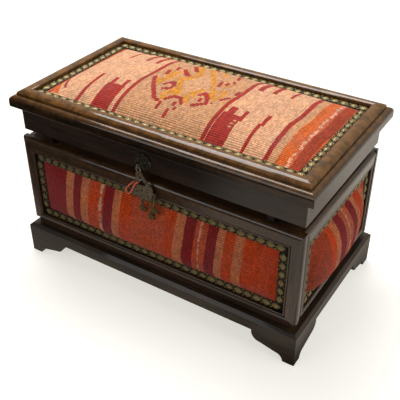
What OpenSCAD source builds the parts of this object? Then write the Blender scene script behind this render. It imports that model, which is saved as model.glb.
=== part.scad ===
// Kilim-covered wooden box: a framed and padded body on a bracket-foot plinth,
// with a hinged, moulded and padded lid and a coin pendant on its front.
// Millimetres. Z is up, the front faces -Y, the feet stand on z = 0.

/* [Body] */
// Length of the body over its side frames
body_l = 327; // [280:1:400]
// Width of the body over its front and back frames
body_w = 181; // [160:1:230]
// Height of the body's frames
body_h = 105; // [85:1:140]
// Thickness of the carcass boards
wall_t = 8; // [7:0.5:12]
// Thickness of the lining boards
lining_t = 5; // [3:0.5:8]
// How far the lining rises above the rim
neck_h = 15; // [10:1:20]
// Thickness of the floor board
floor_t = 7; // [4:0.5:12]
// How far the floor board's edge stands back from the frames
floor_inset = 4; // [2:0.5:6]

/* [Plinth] */
// Height of the plinth without its bevel
plinth_h = 35; // [30:1:50]
// How far the plinth stands out from the body
plinth_over = 5; // [2:0.5:8]
// Thickness of the plinth boards
plinth_t = 12; // [10:0.5:16]
// Height of the bevel on top of the plinth
bevel_h = 3; // [1:0.5:5]
// Width of that bevel
bevel_w = 3.3; // [1:0.1:4]
// Height of the skirt between the feet
skirt_z = 24; // [20:0.5:28]
// Width of a foot where it stands
foot_w = 12.5; // [8:0.5:20]
// Radius of the cove beside a foot
cove_r = 8; // [5:0.5:9]
// Length of the bracket's lobe
lobe_l = 17; // [10:1:25]
// How far the lobe rises along its length
lobe_rise = 4; // [2:0.5:6]
// Leg of the glue blocks in the plinth's corners
block_leg = 24; // [15:1:34]
// Height of the glue blocks
block_h = 26; // [15:1:30]

/* [Frames] */
// Depth of the frame rails
frame_d = 8.5; // [7:0.5:12]
// Width of the stiles at the front and the back
stile_w = 14; // [12:0.5:20]
// Width of the stiles at the two ends, beside the front and back frames
end_stile_w = 8; // [8:0.5:14]
// Width of the top rails
top_rail_w = 16; // [12:0.5:22]
// Width of the bottom rails
bottom_rail_w = 9.5; // [9:0.5:14]
// Rounding of the rails' outer edges
rail_r = 5; // [2:0.5:6]
// Width of the bead along the openings
lip_w = 2; // [1:0.2:3]
// Depth of the quirk beside that bead
quirk_d = 0.8; // [0.4:0.1:1.5]

/* [Lid] */
// How far the lid moulding stands out from the body at its two ends
lid_over_x = 6.5; // [3:0.5:10]
// How far it stands out from the body at the front and the back
lid_over_y = 3; // [1:0.5:4.5]
// Gap between the rim and the lid's apron
lid_gap = 7.3; // [6:0.1:9]
// Height of the apron
apron_h = 27; // [20:1:40]
// Thickness of the apron boards
apron_t = 9; // [8.5:0.5:11]
// How far the apron stands back under the moulding
apron_inset = 8.2; // [6:0.1:10]
// Thickness of the board under the cushion
board_t = 6; // [4:0.5:8]
// Width of the lid moulding
mould_w = 17.8; // [15:0.1:24]
// Height of the lid moulding
mould_h = 18; // [17:0.5:22]
// Width of the moulding's lower round
round_w = 6.3; // [5:0.1:8]
// Height of the step between its lower and upper rounds
step_h = 2.6; // [1.5:0.1:4]

/* [Padding] */
// Thickness of the padding under the brass strip
pad_edge = 4.6; // [3:0.1:5.5]
// Thickness of the front and back padding at its crown
pad_crown = 15.2; // [12:0.1:15.2]
// Thickness of the padding at the two ends at its crown
end_crown = 20; // [12:0.5:24]
// How far the body's padding sags: the share by which its crown lies below its middle
pad_sag = 0.3; // [0:0.05:0.4]
// Thickness of the lid's padding under its strip
cushion_edge = 6.5; // [4:0.1:8]
// Thickness of the lid's padding at its crown
cushion_crown = 22; // [14:0.5:30]
// Gap round the padding
pad_gap = 0.3; // [0.2:0.1:1]

/* [Brass strip] */
// Width of the strip
strip_w = 9; // [7:0.5:11]
// Thickness of the strip's band
strip_t = 0.8; // [0.4:0.1:1.2]
// Spacing of its bosses
boss_pitch = 10.1; // [9:0.1:14]
// Radius of a boss
boss_r = 4.3; // [3:0.1:4.4]
// Height of a boss
boss_h = 1.7; // [1:0.1:2.2]

/* [Hinges] */
// Distance of each hinge from the middle of the lid
hinge_x = 100; // [60:1:120]
// Length of a hinge
hinge_l = 40; // [30:1:50]
// Width of a leaf
leaf_w = 8; // [6:0.5:8]
// Thickness of a leaf
leaf_t = 1.5; // [1.2:0.1:1.8]
// Radius of the hinge pin
pin_r = 1.2; // [1:0.1:1.8]
// Radial clearance between the pin and its knuckles
pin_clear = 0.05; // [0.03:0.01:0.1]
// Gap between neighbouring knuckles
knuckle_gap = 0.3; // [0.2:0.1:0.6]
// Radius of a screw's shank
screw_r = 1; // [0.8:0.1:1.2]
// Length of a screw
screw_l = 11; // [8:1:16]
// Length of the bumpers at the front of the rim
bumper_l = 7; // [4:0.5:12]
// Distance of each bumper from the middle
bumper_x = 128; // [100:1:140]

/* [Pendant] */
// Distance of the pendant from the middle of the front
pendant_x = -7.3; // [-20:0.1:20]
// Height of the eye above the apron's lower edge
eye_z = 9.8; // [9.5:0.1:14]
// Radius of the rosette
rosette_r = 9.5; // [7:0.5:12]
// How far the eye's middle stands out from the apron
eye_out = 9.5; // [9.4:0.1:9.6]
// Radius of the eye's wire
eye_wire = 0.7; // [0.5:0.1:0.8]
// Radius of the eye's hole
eye_hole = 1.3; // [1.1:0.1:1.6]
// Radius of the wire at the pendant's top
bail_wire = 0.6; // [0.4:0.1:0.7]
// Lean of the pendant in its own plane
pendant_lean = 10; // [0:1:12]
// Thickness of the pendant's plate
plate_t = 1; // [0.8:0.1:1.1]
// Radius of the plate's lower, round half
moon_r = 12; // [10:0.5:15]
// Height of the plate's straight sides above that half
plate_rise = 4.5; // [2:0.5:6]
// Height of the arms between the bail and the plate
arm_h = 17; // [12:0.5:24]
// Radius of a coin
coin_r = 3.3; // [2.5:0.1:4]
// Thickness of a coin
coin_t = 0.8; // [0.5:0.1:1]
// Diameter of the thread tied to the pendant
thread_d = 1.6; // [0.8:0.1:1.6]

/* [Hidden] */
$fn = 48;
eps = 0.01;
touch = 0.05;                       // clearance between loose rings
arc_step = 6;                       // degrees between the points of an arc
mitre_gap = 0.04;                   // hairline at a mitre, along the rail

// Body
body_z = plinth_h + bevel_h + floor_t;
rim_z = body_z + body_h;
half_w = body_w / 2;
core_l = body_l - 2 * frame_d;      // carcass, outside
core_w = body_w - 2 * frame_d;
hold_l = core_l - 2 * wall_t;       // carcass, inside
hold_w = core_w - 2 * wall_t;
plinth_l = body_l + 2 * plinth_over;
plinth_w = body_w + 2 * plinth_over;

// Lid
lid_l = body_l + 2 * lid_over_x;
lid_w = body_w + 2 * lid_over_y;
apron_l = lid_l - 2 * apron_inset;
apron_w = lid_w - 2 * apron_inset;
apron_z = rim_z + lid_gap;
board_z = apron_z + apron_h;
seat_z = board_z + board_t;
lid_open_l = lid_l - 2 * mould_w;
lid_open_w = lid_w - 2 * mould_w;

// Hinges
knuckle_r = lid_gap / 2;
axis_y = half_w - 2;
axis_z = rim_z + knuckle_r;
axis_clear = knuckle_r + 0.4;       // from the axis to a plate beside a foreign knuckle
knuckle_l = hinge_l / 3;
screw_y = axis_y - axis_clear - leaf_w * 0.65;
screw_spread = hinge_l / 3;
screw_head_r = screw_r * 1.8;
bore_gap = 0.05;                    // between a shank and its pilot hole

// Pendant
eye_y = -apron_w / 2 - eye_out;
eye_mid_z = apron_z + eye_z;
eye_r = eye_hole + eye_wire;
bail_r = 2.4;
pivot_z = eye_mid_z - eye_hole + bail_wire + touch;
moon_z = -arm_h - bail_r - plate_rise;  // middle of the plate's round half below the pivot
lug_angles = [-103, -60, -20];      // along the plate's rim
lug_hole = 1.1;
lug_r = 1.9;
link_wire = 0.4;
link_half = 1.5;                    // half the width of a link
link_play = 0.3;                    // slack between a link and what it hangs in
link_runs = [1.5, 11.4, 11];         // straight part of each link
coin_tab = 1.9;
arm_w = 3.8;                        // width of an arm where it meets the plate
collar_half = 4;                    // half the width of the pendant's collar
collar_z = -2 * bail_r - 2;         // height of the collar's upper bead
bead_gap = 2;                       // from one bead of the collar to the next
ridge_w = 0.9;                      // width of a raised ridge on a plate
ridge_h = 0.4;                      // how far a ridge stands up
ridge_shares = [0.4, 0.7];          // inner radii of the plate's ridges, of its own radius
rosette_rings = [0.92, 0.66];       // radii of the rosette's raised rings, of its own radius
thread_gap = 0.1;                   // between the thread and the plate under it

walnut = "#2f1d14";
dark_walnut = "#22150f";
brass = "#7d7448";
kilim = "#b5472c";
steel = "#8f8a80";

// ---- Helpers ----

// Points of an arc about c, from angle a to angle b
function arc(c, r, a, b) = let (n = max(2, ceil(abs(b - a) / arc_step)))
    [for (i = [0:n]) c + r * [cos(a + (b - a) * i / n), sin(a + (b - a) * i / n)]];

// A board of the given size, centred in X and Y on c, standing on c's height
module board(size, c) {
    translate([c[0] - size[0] / 2, c[1] - size[1] / 2, c[2]])
        cube(size);
}

// Plan of a length with mitred ends, whose cuts run in by the two given widths
module mitre_plan(length, width, left_in, right_in) {
    end = (length - mitre_gap) / 2;
    polygon([[-end, 0], [end, 0], [end - right_in, width], [left_in - end, width]]);
}

// A length of moulding along X with mitred ends. Its outer edge lies on y = 0 and its
// width runs to +Y; the child is its section, with the width as x and the height as y.
module mitred(length, width, height) {
    intersection() {
        rotate([90, 0, 90])
            linear_extrude(length, center = true)
                children();
        linear_extrude(height * 2, center = true)
            mitre_plan(length, width, width, width);
    }
}

// Puts a child made on the front, with -Y outwards, on one of the four sides
module on_side(quarter, reach) {
    rotate([0, 0, quarter * 90])
        translate([0, -reach, 0])
            children();
}

// Turns a child that lies on z = 0 up to stand on the front, its +Y as +Z, its +Z as -Y
module upright() {
    rotate([90, 0, 0])
        children();
}

// ---- Plinth ----

// Outline of a plinth board from the front, with its two bracket feet
module plinth_outline(length) {
    foot = length / 2 - foot_w;                  // inner end of the foot
    lobe = foot - cove_r;                        // where the lobe starts
    ovolo = lobe - lobe_l;                       // where the lobe's round end starts
    lobe_z = cove_r + lobe_rise;
    ovolo_r = skirt_z - lobe_z - 2;
    half = concat(
        [[length / 2, 0], [foot, 0]],
        arc([lobe, 0], cove_r, 0, 90),
        arc([ovolo, lobe_z + ovolo_r], ovolo_r, -90, -180),
        [[ovolo - ovolo_r, skirt_z]]);
    polygon(concat(
        [[-length / 2, plinth_h + bevel_h], [length / 2, plinth_h + bevel_h]],
        half,
        [for (i = [len(half) - 1:-1:0]) [-half[i][0], half[i][1]]]));
}

// Section of a plinth board, its outer face on x = 0
module plinth_section() {
    polygon([[0, 0], [plinth_t, 0], [plinth_t, plinth_h + bevel_h],
             [bevel_w, plinth_h + bevel_h], [0, plinth_h]]);
}

module plinth_board(length) {
    intersection() {
        mitred(length, plinth_t, plinth_h + bevel_h)
            plinth_section();
        translate([0, plinth_t + eps, 0])
            upright()
                linear_extrude(plinth_t + 2 * eps)
                    plinth_outline(length);
    }
}

module plinth_front() {
    color(walnut) on_side(0, plinth_w / 2) plinth_board(plinth_l);
}

module plinth_back() {
    color(walnut) on_side(2, plinth_w / 2) plinth_board(plinth_l);
}

module plinth_left() {
    color(walnut) on_side(3, plinth_l / 2) plinth_board(plinth_w);
}

module plinth_right() {
    color(walnut) on_side(1, plinth_l / 2) plinth_board(plinth_w);
}

// Triangular blocks glued behind the feet and under the floor board
module glue_blocks() {
    corner = [plinth_l / 2 - plinth_t, plinth_w / 2 - plinth_t];
    color(dark_walnut)
        for (sx = [-1, 1], sy = [-1, 1])
            translate([0, 0, plinth_h + bevel_h - block_h])
                linear_extrude(block_h)
                    polygon([[sx * corner[0], sy * corner[1]],
                             [sx * (corner[0] - block_leg), sy * corner[1]],
                             [sx * corner[0], sy * (corner[1] - block_leg)]]);
}

// ---- Carcass and lining ----

module floor_board() {
    color(dark_walnut)
        board([body_l - 2 * floor_inset, body_w - 2 * floor_inset, floor_t],
              [0, 0, plinth_h + bevel_h]);
}

// Pilot holes under the rim leaves, in the back wall
module pilot_holes(top_z, depth) {
    for (sx = [-1, 1], i = [-1:1])
        translate([sx * hinge_x + i * screw_spread, screw_y, top_z - depth])
            cylinder(r = screw_r + bore_gap, h = depth + eps);
}

module front_wall() {
    color(walnut) board([core_l, wall_t, body_h], [0, (wall_t - core_w) / 2, body_z]);
}

module back_wall() {
    color(walnut)
        difference() {
            board([core_l, wall_t, body_h], [0, (core_w - wall_t) / 2, body_z]);
            pilot_holes(rim_z, screw_l + 1);
        }
}

module left_wall() {
    color(walnut) board([wall_t, hold_w, body_h], [(wall_t - core_l) / 2, 0, body_z]);
}

module right_wall() {
    color(walnut) board([wall_t, hold_w, body_h], [(core_l - wall_t) / 2, 0, body_z]);
}

// A lining board along X with a rounded top edge
module lining_board(length) {
    height = body_h + neck_h;
    top_r = lining_t / 2 - eps;
    rotate([90, 0, 90])
        linear_extrude(length, center = true)
            polygon(concat([[0, 0], [lining_t, 0]],
                           arc([lining_t - top_r, height - top_r], top_r, 0, 90),
                           arc([top_r, height - top_r], top_r, 90, 180)));
}

module front_lining() {
    color(dark_walnut) translate([0, 0, body_z]) on_side(0, hold_w / 2) lining_board(hold_l);
}

module back_lining() {
    color(dark_walnut) translate([0, 0, body_z]) on_side(2, hold_w / 2) lining_board(hold_l);
}

module left_lining() {
    color(dark_walnut)
        translate([0, 0, body_z]) on_side(3, hold_l / 2) lining_board(hold_w - 2 * lining_t);
}

module right_lining() {
    color(dark_walnut)
        translate([0, 0, body_z]) on_side(1, hold_l / 2) lining_board(hold_w - 2 * lining_t);
}

// ---- Frames ----

// Section of a rail of the given width: rounded outside, quirk and bead inside
module rail_section(width) {
    bead_r = lip_w / 2;
    polygon(concat(
        [[0, 0]],
        arc([rail_r, frame_d - rail_r], rail_r, 180, 90),
        [[width - lip_w - quirk_d, frame_d], [width - lip_w - quirk_d / 2, frame_d - quirk_d]],
        arc([width - bead_r, frame_d - bead_r], bead_r, 180, 0),
        [[width, 0]]));
}

// One rail of a frame whose opening's corners fall where rails of two widths meet
module frame_rail(length, width, side_w) {
    intersection() {
        rotate([90, 0, 90])
            linear_extrude(length, center = true)
                rail_section(width);
        linear_extrude(frame_d * 2, center = true)
            mitre_plan(length, width, side_w, side_w);
    }
}

// A frame lying on z = 0, face up, its bottom rail along y = 0
module frame(length, post_w) {
    frame_rail(length, bottom_rail_w, post_w);
    translate([0, body_h, 0])
        rotate([0, 0, 180])
            frame_rail(length, top_rail_w, post_w);
    for (side = [-1, 1])
        stile(length, side, post_w);
}

// A stile, cut to meet a bottom rail and a wider top rail
module stile(length, side, post_w) {
    intersection() {
        translate([side * length / 2, 0, 0])
            rotate([90, 0, 180])
                mirror([(1 - side) / 2, 0, 0])
                    linear_extrude(body_h)
                        rail_section(post_w);
        linear_extrude(frame_d * 2, center = true)
            translate([side * length / 2, body_h / 2])
                rotate([0, 0, side * 90])
                    mitre_plan(body_h, post_w, side > 0 ? bottom_rail_w : top_rail_w,
                               side > 0 ? top_rail_w : bottom_rail_w);
    }
}

module standing_frame(quarter, reach, length, post_w) {
    translate([0, 0, body_z])
        on_side(quarter, reach)
            upright()
                frame(length, post_w);
}

module front_frame() {
    color(walnut) standing_frame(0, core_w / 2, body_l, stile_w);
}

module back_frame() {
    color(walnut) standing_frame(2, core_w / 2, body_l, stile_w);
}

module left_frame() {
    color(walnut) standing_frame(3, core_l / 2, core_w, end_stile_w);
}

module right_frame() {
    color(walnut) standing_frame(1, core_l / 2, core_w, end_stile_w);
}

// ---- Padding ----

// Rise of a pad's cover at a share u of the way from its middle to its border
function swell(u) = pow(1 - pow(abs(u), 3.2), 0.75);

// A crowned pad lying on z = 0: a flat border under the strip and a swelling inside it,
// whose crown lies towards -Y by the given share
module pad(length, width, edge, crown, sag) {
    nx = 9;
    ny = 6;
    a = length / 2 - strip_w;
    b = width / 2 - strip_w;
    xs = concat([-length / 2], [for (i = [-nx:nx]) a * sin(90 * i / nx)], [length / 2]);
    ys = concat([-width / 2], [for (i = [-ny:ny]) b * sin(90 * i / ny)], [width / 2]);
    cols = len(xs);
    rows = len(ys);
    rise = crown - edge;
    function sagged(v) = swell(v + sag * (1 - v * v));
    top = [for (y = ys, x = xs)
        [x, y, edge + (abs(x) < a - eps && abs(y) < b - eps ? rise * swell(x / a) * sagged(y / b) : 0)]];
    under = [for (y = ys, x = xs) [x, y, 0]];
    count = cols * rows;
    function at(r, c) = r * cols + c;
    rim = concat([for (c = [0:cols - 1]) at(0, c)], [for (r = [1:rows - 1]) at(r, cols - 1)],
                 [for (c = [cols - 2:-1:0]) at(rows - 1, c)], [for (r = [rows - 2:-1:1]) at(r, 0)]);
    turns = len(rim);
    polyhedron(
        points = concat(top, under, [[0, 0, 0]]),
        faces = concat(
            [for (r = [0:rows - 2], c = [0:cols - 2], half = [0, 1])
                half == 0 ? [at(r, c), at(r + 1, c), at(r + 1, c + 1)]
                          : [at(r, c), at(r + 1, c + 1), at(r, c + 1)]],
            [for (i = [0:turns - 1], half = [0, 1])
                let (p = rim[i], q = rim[(i + 1) % turns])
                half == 0 ? [p, q, q + count] : [p, q + count, p + count]],
            [for (i = [0:turns - 1]) [rim[i] + count, rim[(i + 1) % turns] + count, 2 * count]]));
}

module standing_pad(quarter, reach, length, post_w, crown) {
    opening = body_h - top_rail_w - bottom_rail_w;
    color(kilim)
        translate([0, 0, body_z + bottom_rail_w + opening / 2])
            on_side(quarter, reach)
                upright()
                    pad(length - 2 * post_w - 2 * pad_gap, opening - 2 * pad_gap,
                        pad_edge, crown, pad_sag);
}

module front_pad() {
    standing_pad(0, core_w / 2, body_l, stile_w, pad_crown);
}

module back_pad() {
    standing_pad(2, core_w / 2, body_l, stile_w, pad_crown);
}

module left_pad() {
    standing_pad(3, core_l / 2, core_w, end_stile_w, end_crown);
}

module right_pad() {
    standing_pad(1, core_l / 2, core_w, end_stile_w, end_crown);
}

module lid_cushion() {
    color(kilim)
        translate([0, 0, seat_z])
            pad(lid_open_l - 2 * pad_gap, lid_open_w - 2 * pad_gap, cushion_edge, cushion_crown, 0);
}

// ---- Brass strip ----

// A length of strip along X, lying on z = 0 about y = 0, with a row of domed bosses
module strip_run(length) {
    ball_r = (boss_r * boss_r + boss_h * boss_h) / (2 * boss_h);
    count = floor((length - 2 * boss_r) / boss_pitch);
    translate([-length / 2, -strip_w / 2, 0])
        cube([length, strip_w, strip_t]);
    intersection() {
        for (i = [0:count])
            translate([(i - count / 2) * boss_pitch, 0, strip_t + boss_h - ball_r])
                sphere(r = ball_r);
        translate([-length / 2, -strip_w / 2, strip_t / 2])
            cube([length, strip_w, strip_t + boss_h]);
    }
}

// Four lengths of strip round an opening, lying on z = 0
module strip_loop(length, width) {
    inset = strip_w / 2 + pad_gap;
    for (side = [-1, 1])
        translate([0, side * (width / 2 - inset), 0])
            strip_run(length - 2 * pad_gap);
    for (side = [-1, 1])
        translate([side * (length / 2 - inset), 0, 0])
            rotate([0, 0, 90])
                strip_run(width - 2 * strip_w - 4 * pad_gap);
}

module standing_strip(quarter, reach, length, post_w) {
    opening = body_h - top_rail_w - bottom_rail_w;
    color(brass)
        translate([0, 0, body_z + bottom_rail_w + opening / 2])
            on_side(quarter, reach)
                upright()
                    translate([0, 0, pad_edge])
                        strip_loop(length - 2 * post_w, opening);
}

module front_strip() {
    standing_strip(0, core_w / 2, body_l, stile_w);
}

module back_strip() {
    standing_strip(2, core_w / 2, body_l, stile_w);
}

module left_strip() {
    standing_strip(3, core_l / 2, core_w, end_stile_w);
}

module right_strip() {
    standing_strip(1, core_l / 2, core_w, end_stile_w);
}

module lid_strip() {
    color(brass)
        translate([0, 0, seat_z + cushion_edge])
            strip_loop(lid_open_l, lid_open_w);
}

// ---- Hinges and bumpers ----

// Blocks on the rim that carry the front of the closed lid
module bumpers() {
    depth = 6;
    setback = 1;                        // from the apron's front
    color(walnut)
        for (side = [-1, 1])
            board([bumper_l, depth, lid_gap - touch],
                  [side * bumper_x, (depth - apron_w) / 2 + setback, rim_z]);
}

// A countersunk hole through a leaf whose outer face is at z = leaf_t
module screw_hole() {
    translate([0, 0, -eps])
        cylinder(r = screw_r + bore_gap, h = leaf_t + 2 * eps);
    translate([0, 0, leaf_t - screw_head_r + screw_r])
        cylinder(r1 = screw_r + bore_gap, r2 = screw_head_r + bore_gap, h = screw_head_r - screw_r + eps);
}

// A hinge leaf below its axis: the knuckles named by their places, a plate and screw holes.
// The axis lies on y = 0, z = knuckle_r, and the plate lies on z = 0 towards -Y.
module leaf(places) {
    difference() {
        union() {
            translate([-hinge_l / 2, -axis_clear - leaf_w, 0])
                cube([hinge_l, leaf_w, leaf_t]);
            for (i = places)
                translate([i * knuckle_l - (knuckle_l - knuckle_gap) / 2, 0, 0]) {
                    translate([0, -axis_clear - eps, 0])
                        cube([knuckle_l - knuckle_gap, axis_clear + eps, leaf_t]);
                    translate([0, 0, knuckle_r])
                        rotate([0, 90, 0])
                            cylinder(r = knuckle_r, h = knuckle_l - knuckle_gap);
                }
        }
        translate([-hinge_l / 2 - eps, 0, knuckle_r])
            rotate([0, 90, 0])
                cylinder(r = pin_r + pin_clear, h = hinge_l + 2 * eps);
        for (i = [-1:1])
            translate([i * screw_spread, screw_y - axis_y, 0])
                screw_hole();
    }
}

module rim_leaves() {
    color(brass)
        for (side = [-1, 1])
            translate([side * hinge_x, axis_y, rim_z])
                leaf([-1, 1]);
}

module lid_leaves() {
    color(brass)
        for (side = [-1, 1])
            translate([side * hinge_x, axis_y, apron_z])
                mirror([0, 0, 1])
                    leaf([0]);
}

module hinge_pins() {
    head = 0.8;
    head_r = pin_r * 1.6;
    color(steel)
        for (side = [-1, 1])
            translate([side * hinge_x - hinge_l / 2 - head, axis_y, axis_z])
                rotate([0, 90, 0]) {
                    cylinder(r = pin_r, h = hinge_l + 2 * head);
                    cylinder(r = head_r, h = head);
                    translate([0, 0, hinge_l + head])
                        cylinder(r = head_r, h = head);
                }
}

// A countersunk screw, its head flush with z = leaf_t and its shank going down
module screw() {
    head_h = screw_head_r - screw_r;
    translate([0, 0, leaf_t - screw_l])
        cylinder(r = screw_r, h = screw_l - head_h + eps);
    translate([0, 0, leaf_t - head_h])
        cylinder(r1 = screw_r, r2 = screw_head_r, h = head_h);
}

module screw_rows() {
    for (side = [-1, 1], i = [-1:1])
        translate([side * hinge_x + i * screw_spread, screw_y, 0])
            screw();
}

module rim_screws() {
    color(brass) translate([0, 0, rim_z]) screw_rows();
}

module lid_screws() {
    color(brass) translate([0, 0, apron_z]) mirror([0, 0, 1]) screw_rows();
}

// ---- Lid ----

module apron_front() {
    color(walnut) board([apron_l, apron_t, apron_h], [0, (apron_t - apron_w) / 2, apron_z]);
}

module apron_back() {
    color(walnut)
        difference() {
            board([apron_l, apron_t, apron_h], [0, (apron_w - apron_t) / 2, apron_z]);
            translate([0, 0, screw_l + 1])
                pilot_holes(apron_z, screw_l + 1 + eps);
        }
}

module apron_left() {
    color(walnut)
        board([apron_t, apron_w - 2 * apron_t, apron_h], [(apron_t - apron_l) / 2, 0, apron_z]);
}

module apron_right() {
    color(walnut)
        board([apron_t, apron_w - 2 * apron_t, apron_h], [(apron_l - apron_t) / 2, 0, apron_z]);
}

module lid_board() {
    color(dark_walnut) board([apron_l, apron_w, board_t], [0, 0, board_z]);
}

// Section of the lid moulding: a lower round, a step and an upper round, rebated
// underneath for the lid board
module moulding_section() {
    drop = 3;                                    // fall of the upper round to the step
    low_h = mould_h - step_h - drop;             // top of the lower round
    low_r = round_w - 0.8;
    toe_r = 1.6;                                 // rounding of the lower edge
    inner_drop = 1.2;                            // fall of the upper round to the cushion
    crest_share = 0.62;                          // place of the crest across the upper round
    inner_share = 0.45;                          // part of the bow that lies inside the crest
    crest = [round_w + (mould_w - round_w) * crest_share, mould_h];
    crest_r = crest[0] - round_w;
    bow_r = (crest_r * crest_r + drop * drop) / (2 * drop);
    bow = asin(crest_r / bow_r);
    polygon(concat(
        [[apron_inset, 0], [toe_r, 0]],
        arc([toe_r, toe_r], toe_r, -90, -180),
        arc([low_r, low_h - low_r], low_r, 180, 90),
        [[round_w, low_h]],
        arc([crest[0], mould_h - bow_r], bow_r, 90 + bow, 90 - bow * inner_share),
        [[mould_w, mould_h - inner_drop], [mould_w, board_t], [apron_inset, board_t]]));
}

module moulding(quarter, reach, length) {
    color(walnut)
        translate([0, 0, board_z])
            on_side(quarter, reach)
                mitred(length, mould_w, mould_h)
                    moulding_section();
}

module moulding_front() {
    moulding(0, lid_w / 2, lid_l);
}

module moulding_back() {
    moulding(2, lid_w / 2, lid_l);
}

module moulding_left() {
    moulding(3, lid_l / 2, lid_w);
}

module moulding_right() {
    moulding(1, lid_l / 2, lid_w);
}

// ---- Pendant ----

// A ring in the plane of X and Y
module ring(r, wire) {
    rotate_extrude()
        translate([r, 0])
            circle(r = wire, $fn = 20);
}

// Stamped rosette on the apron, behind the eye
module rosette() {
    thick = 1;
    cone_r = [4, 2.3];                  // at its foot and at its top
    cone_h = 2.4;
    ring_wire = 0.65;
    color(brass)
        translate([pendant_x, -apron_w / 2, eye_mid_z])
            upright()
                difference() {
                    union() {
                        cylinder(r = rosette_r, h = thick);
                        cylinder(r1 = cone_r[0], r2 = cone_r[1], h = cone_h);
                        for (share = rosette_rings)
                            translate([0, 0, thick])
                                ring(rosette_r * share, ring_wire);
                    }
                    translate([0, 0, -eps])
                        cylinder(r = eye_wire + bore_gap, h = cone_h + 2 * eps);
                }
}

// Eye on a shank that stands on the apron and passes through the rosette
module eye() {
    color(brass)
        translate([pendant_x, -apron_w / 2, eye_mid_z])
            upright() {
                cylinder(r = eye_wire, h = eye_out - eye_r + eye_wire / 2);
                translate([0, 0, eye_out])
                    rotate([0, 90, 0])
                        ring(eye_r, eye_wire);
            }
}

// Places a child drawn below the pivot in the plane of X and Y, with the pendant's lean
module hang() {
    translate([pendant_x, eye_y, pivot_z])
        upright()
            rotate([0, 0, pendant_lean])
                children();
}

// Place of lug i below the pivot, before the lean
function lug_at(i) = [moon_r * cos(lug_angles[i]), moon_z + moon_r * sin(lug_angles[i])]
    + (lug_r - plate_t / 3) * [cos(lug_angles[i]), sin(lug_angles[i])];

// The same place after the lean
function leaned(p) = [p[0] * cos(pendant_lean) - p[1] * sin(pendant_lean),
                      p[0] * sin(pendant_lean) + p[1] * cos(pendant_lean)];

// The arms and the round-bottomed plate, flat, with round lugs for the links
module pendant_outline() {
    half = moon_r - 2;
    shoulder_z = collar_z - bead_gap;
    foot_z = moon_z + plate_rise - eps;
    difference() {
        union() {
            polygon([[-bail_r, -2 * bail_r], [bail_r, -2 * bail_r], [collar_half, shoulder_z],
                     [half, foot_z], [half - arm_w, foot_z], [0, shoulder_z],
                     [arm_w - half, foot_z], [-half, foot_z], [-collar_half, shoulder_z]]);
            translate([0, moon_z])
                half_disc(moon_r, plate_rise);
            for (i = [0:2])
                translate(lug_at(i)) circle(r = lug_r, $fn = 32);
        }
        for (i = [0:2])
            translate(lug_at(i)) circle(r = lug_hole, $fn = 32);
    }
}

// The lower half of a disc, carried straight up by the given rise
module half_disc(r, rise) {
    intersection() {
        circle(r = r);
        translate([-r, -r]) square([2 * r, r + eps]);
    }
    translate([-r, 0]) square([2 * r, rise]);
}

// Round-bottomed plate on two arms, with a wire bail at the top and three lugs below
module pendant() {
    color(brass)
        hang() {
            translate([0, -bail_r, 0])
                ring(bail_r, bail_wire);
            translate([0, 0, -plate_t / 2])
                linear_extrude(plate_t)
                    pendant_outline();
            for (row = [0, 1])
                translate([-collar_half, collar_z - row * bead_gap - ridge_w / 2, -plate_t / 2])
                    cube([2 * collar_half, ridge_w, plate_t + ridge_h]);
            for (share = ridge_shares)
                translate([0, moon_z, 0])
                    linear_extrude(plate_t / 2 + ridge_h)
                        difference() {
                            half_disc(moon_r * share + ridge_w, ridge_w);
                            half_disc(moon_r * share, ridge_w + eps);
                        }
        }
}

// Middle of the link's upper end, hanging in lug i
function link_top(i) = let (p = leaned(lug_at(i)))
    [pendant_x + p[0], eye_y, pivot_z + p[1] - lug_hole + link_wire + link_play];

// A long ring that joins a lug and a coin, its upper end's wire on the origin
module link(i) {
    bend = link_half - link_wire;
    color(brass)
        translate(link_top(i))
            rotate([0, 90, 0])
                for (end = [0, 1]) {
                    translate([bend + end * link_runs[i], 0, 0])
                        rotate([0, 0, 90 - end * 180])
                            rotate_extrude(angle = 180)
                                translate([bend, 0])
                                    circle(r = link_wire, $fn = 16);
                    translate([bend, (2 * end - 1) * bend, 0])
                        rotate([0, 90, 0])
                            cylinder(r = link_wire, h = link_runs[i], $fn = 16);
                }
}

module link_left() {
    link(0);
}

module link_middle() {
    link(1);
}

module link_right() {
    link(2);
}

// Distance from a link's upper end to the middle of the coin's hole
function coin_drop(i) = link_runs[i] + 2 * (link_half - link_wire) + lug_hole - link_wire - link_play;

// A coin with a pierced tab and a raised border
module coin(i) {
    border_r = coin_r * 0.82;
    border_wire = 0.25;
    color(brass)
        translate(link_top(i))
            translate([0, 0, -coin_drop(i)])
                upright()
                    translate([0, 0, -coin_t / 2]) {
                        linear_extrude(coin_t)
                            difference() {
                                union() {
                                    circle(r = coin_tab, $fn = 32);
                                    translate([0, -coin_r - lug_hole]) circle(r = coin_r);
                                }
                                circle(r = lug_hole, $fn = 32);
                            }
                        translate([0, -coin_r - lug_hole, coin_t])
                            ring(border_r, border_wire);
                    }
}

module coin_left() {
    coin(0);
}

module coin_middle() {
    coin(1);
}

module coin_right() {
    coin(2);
}

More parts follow.
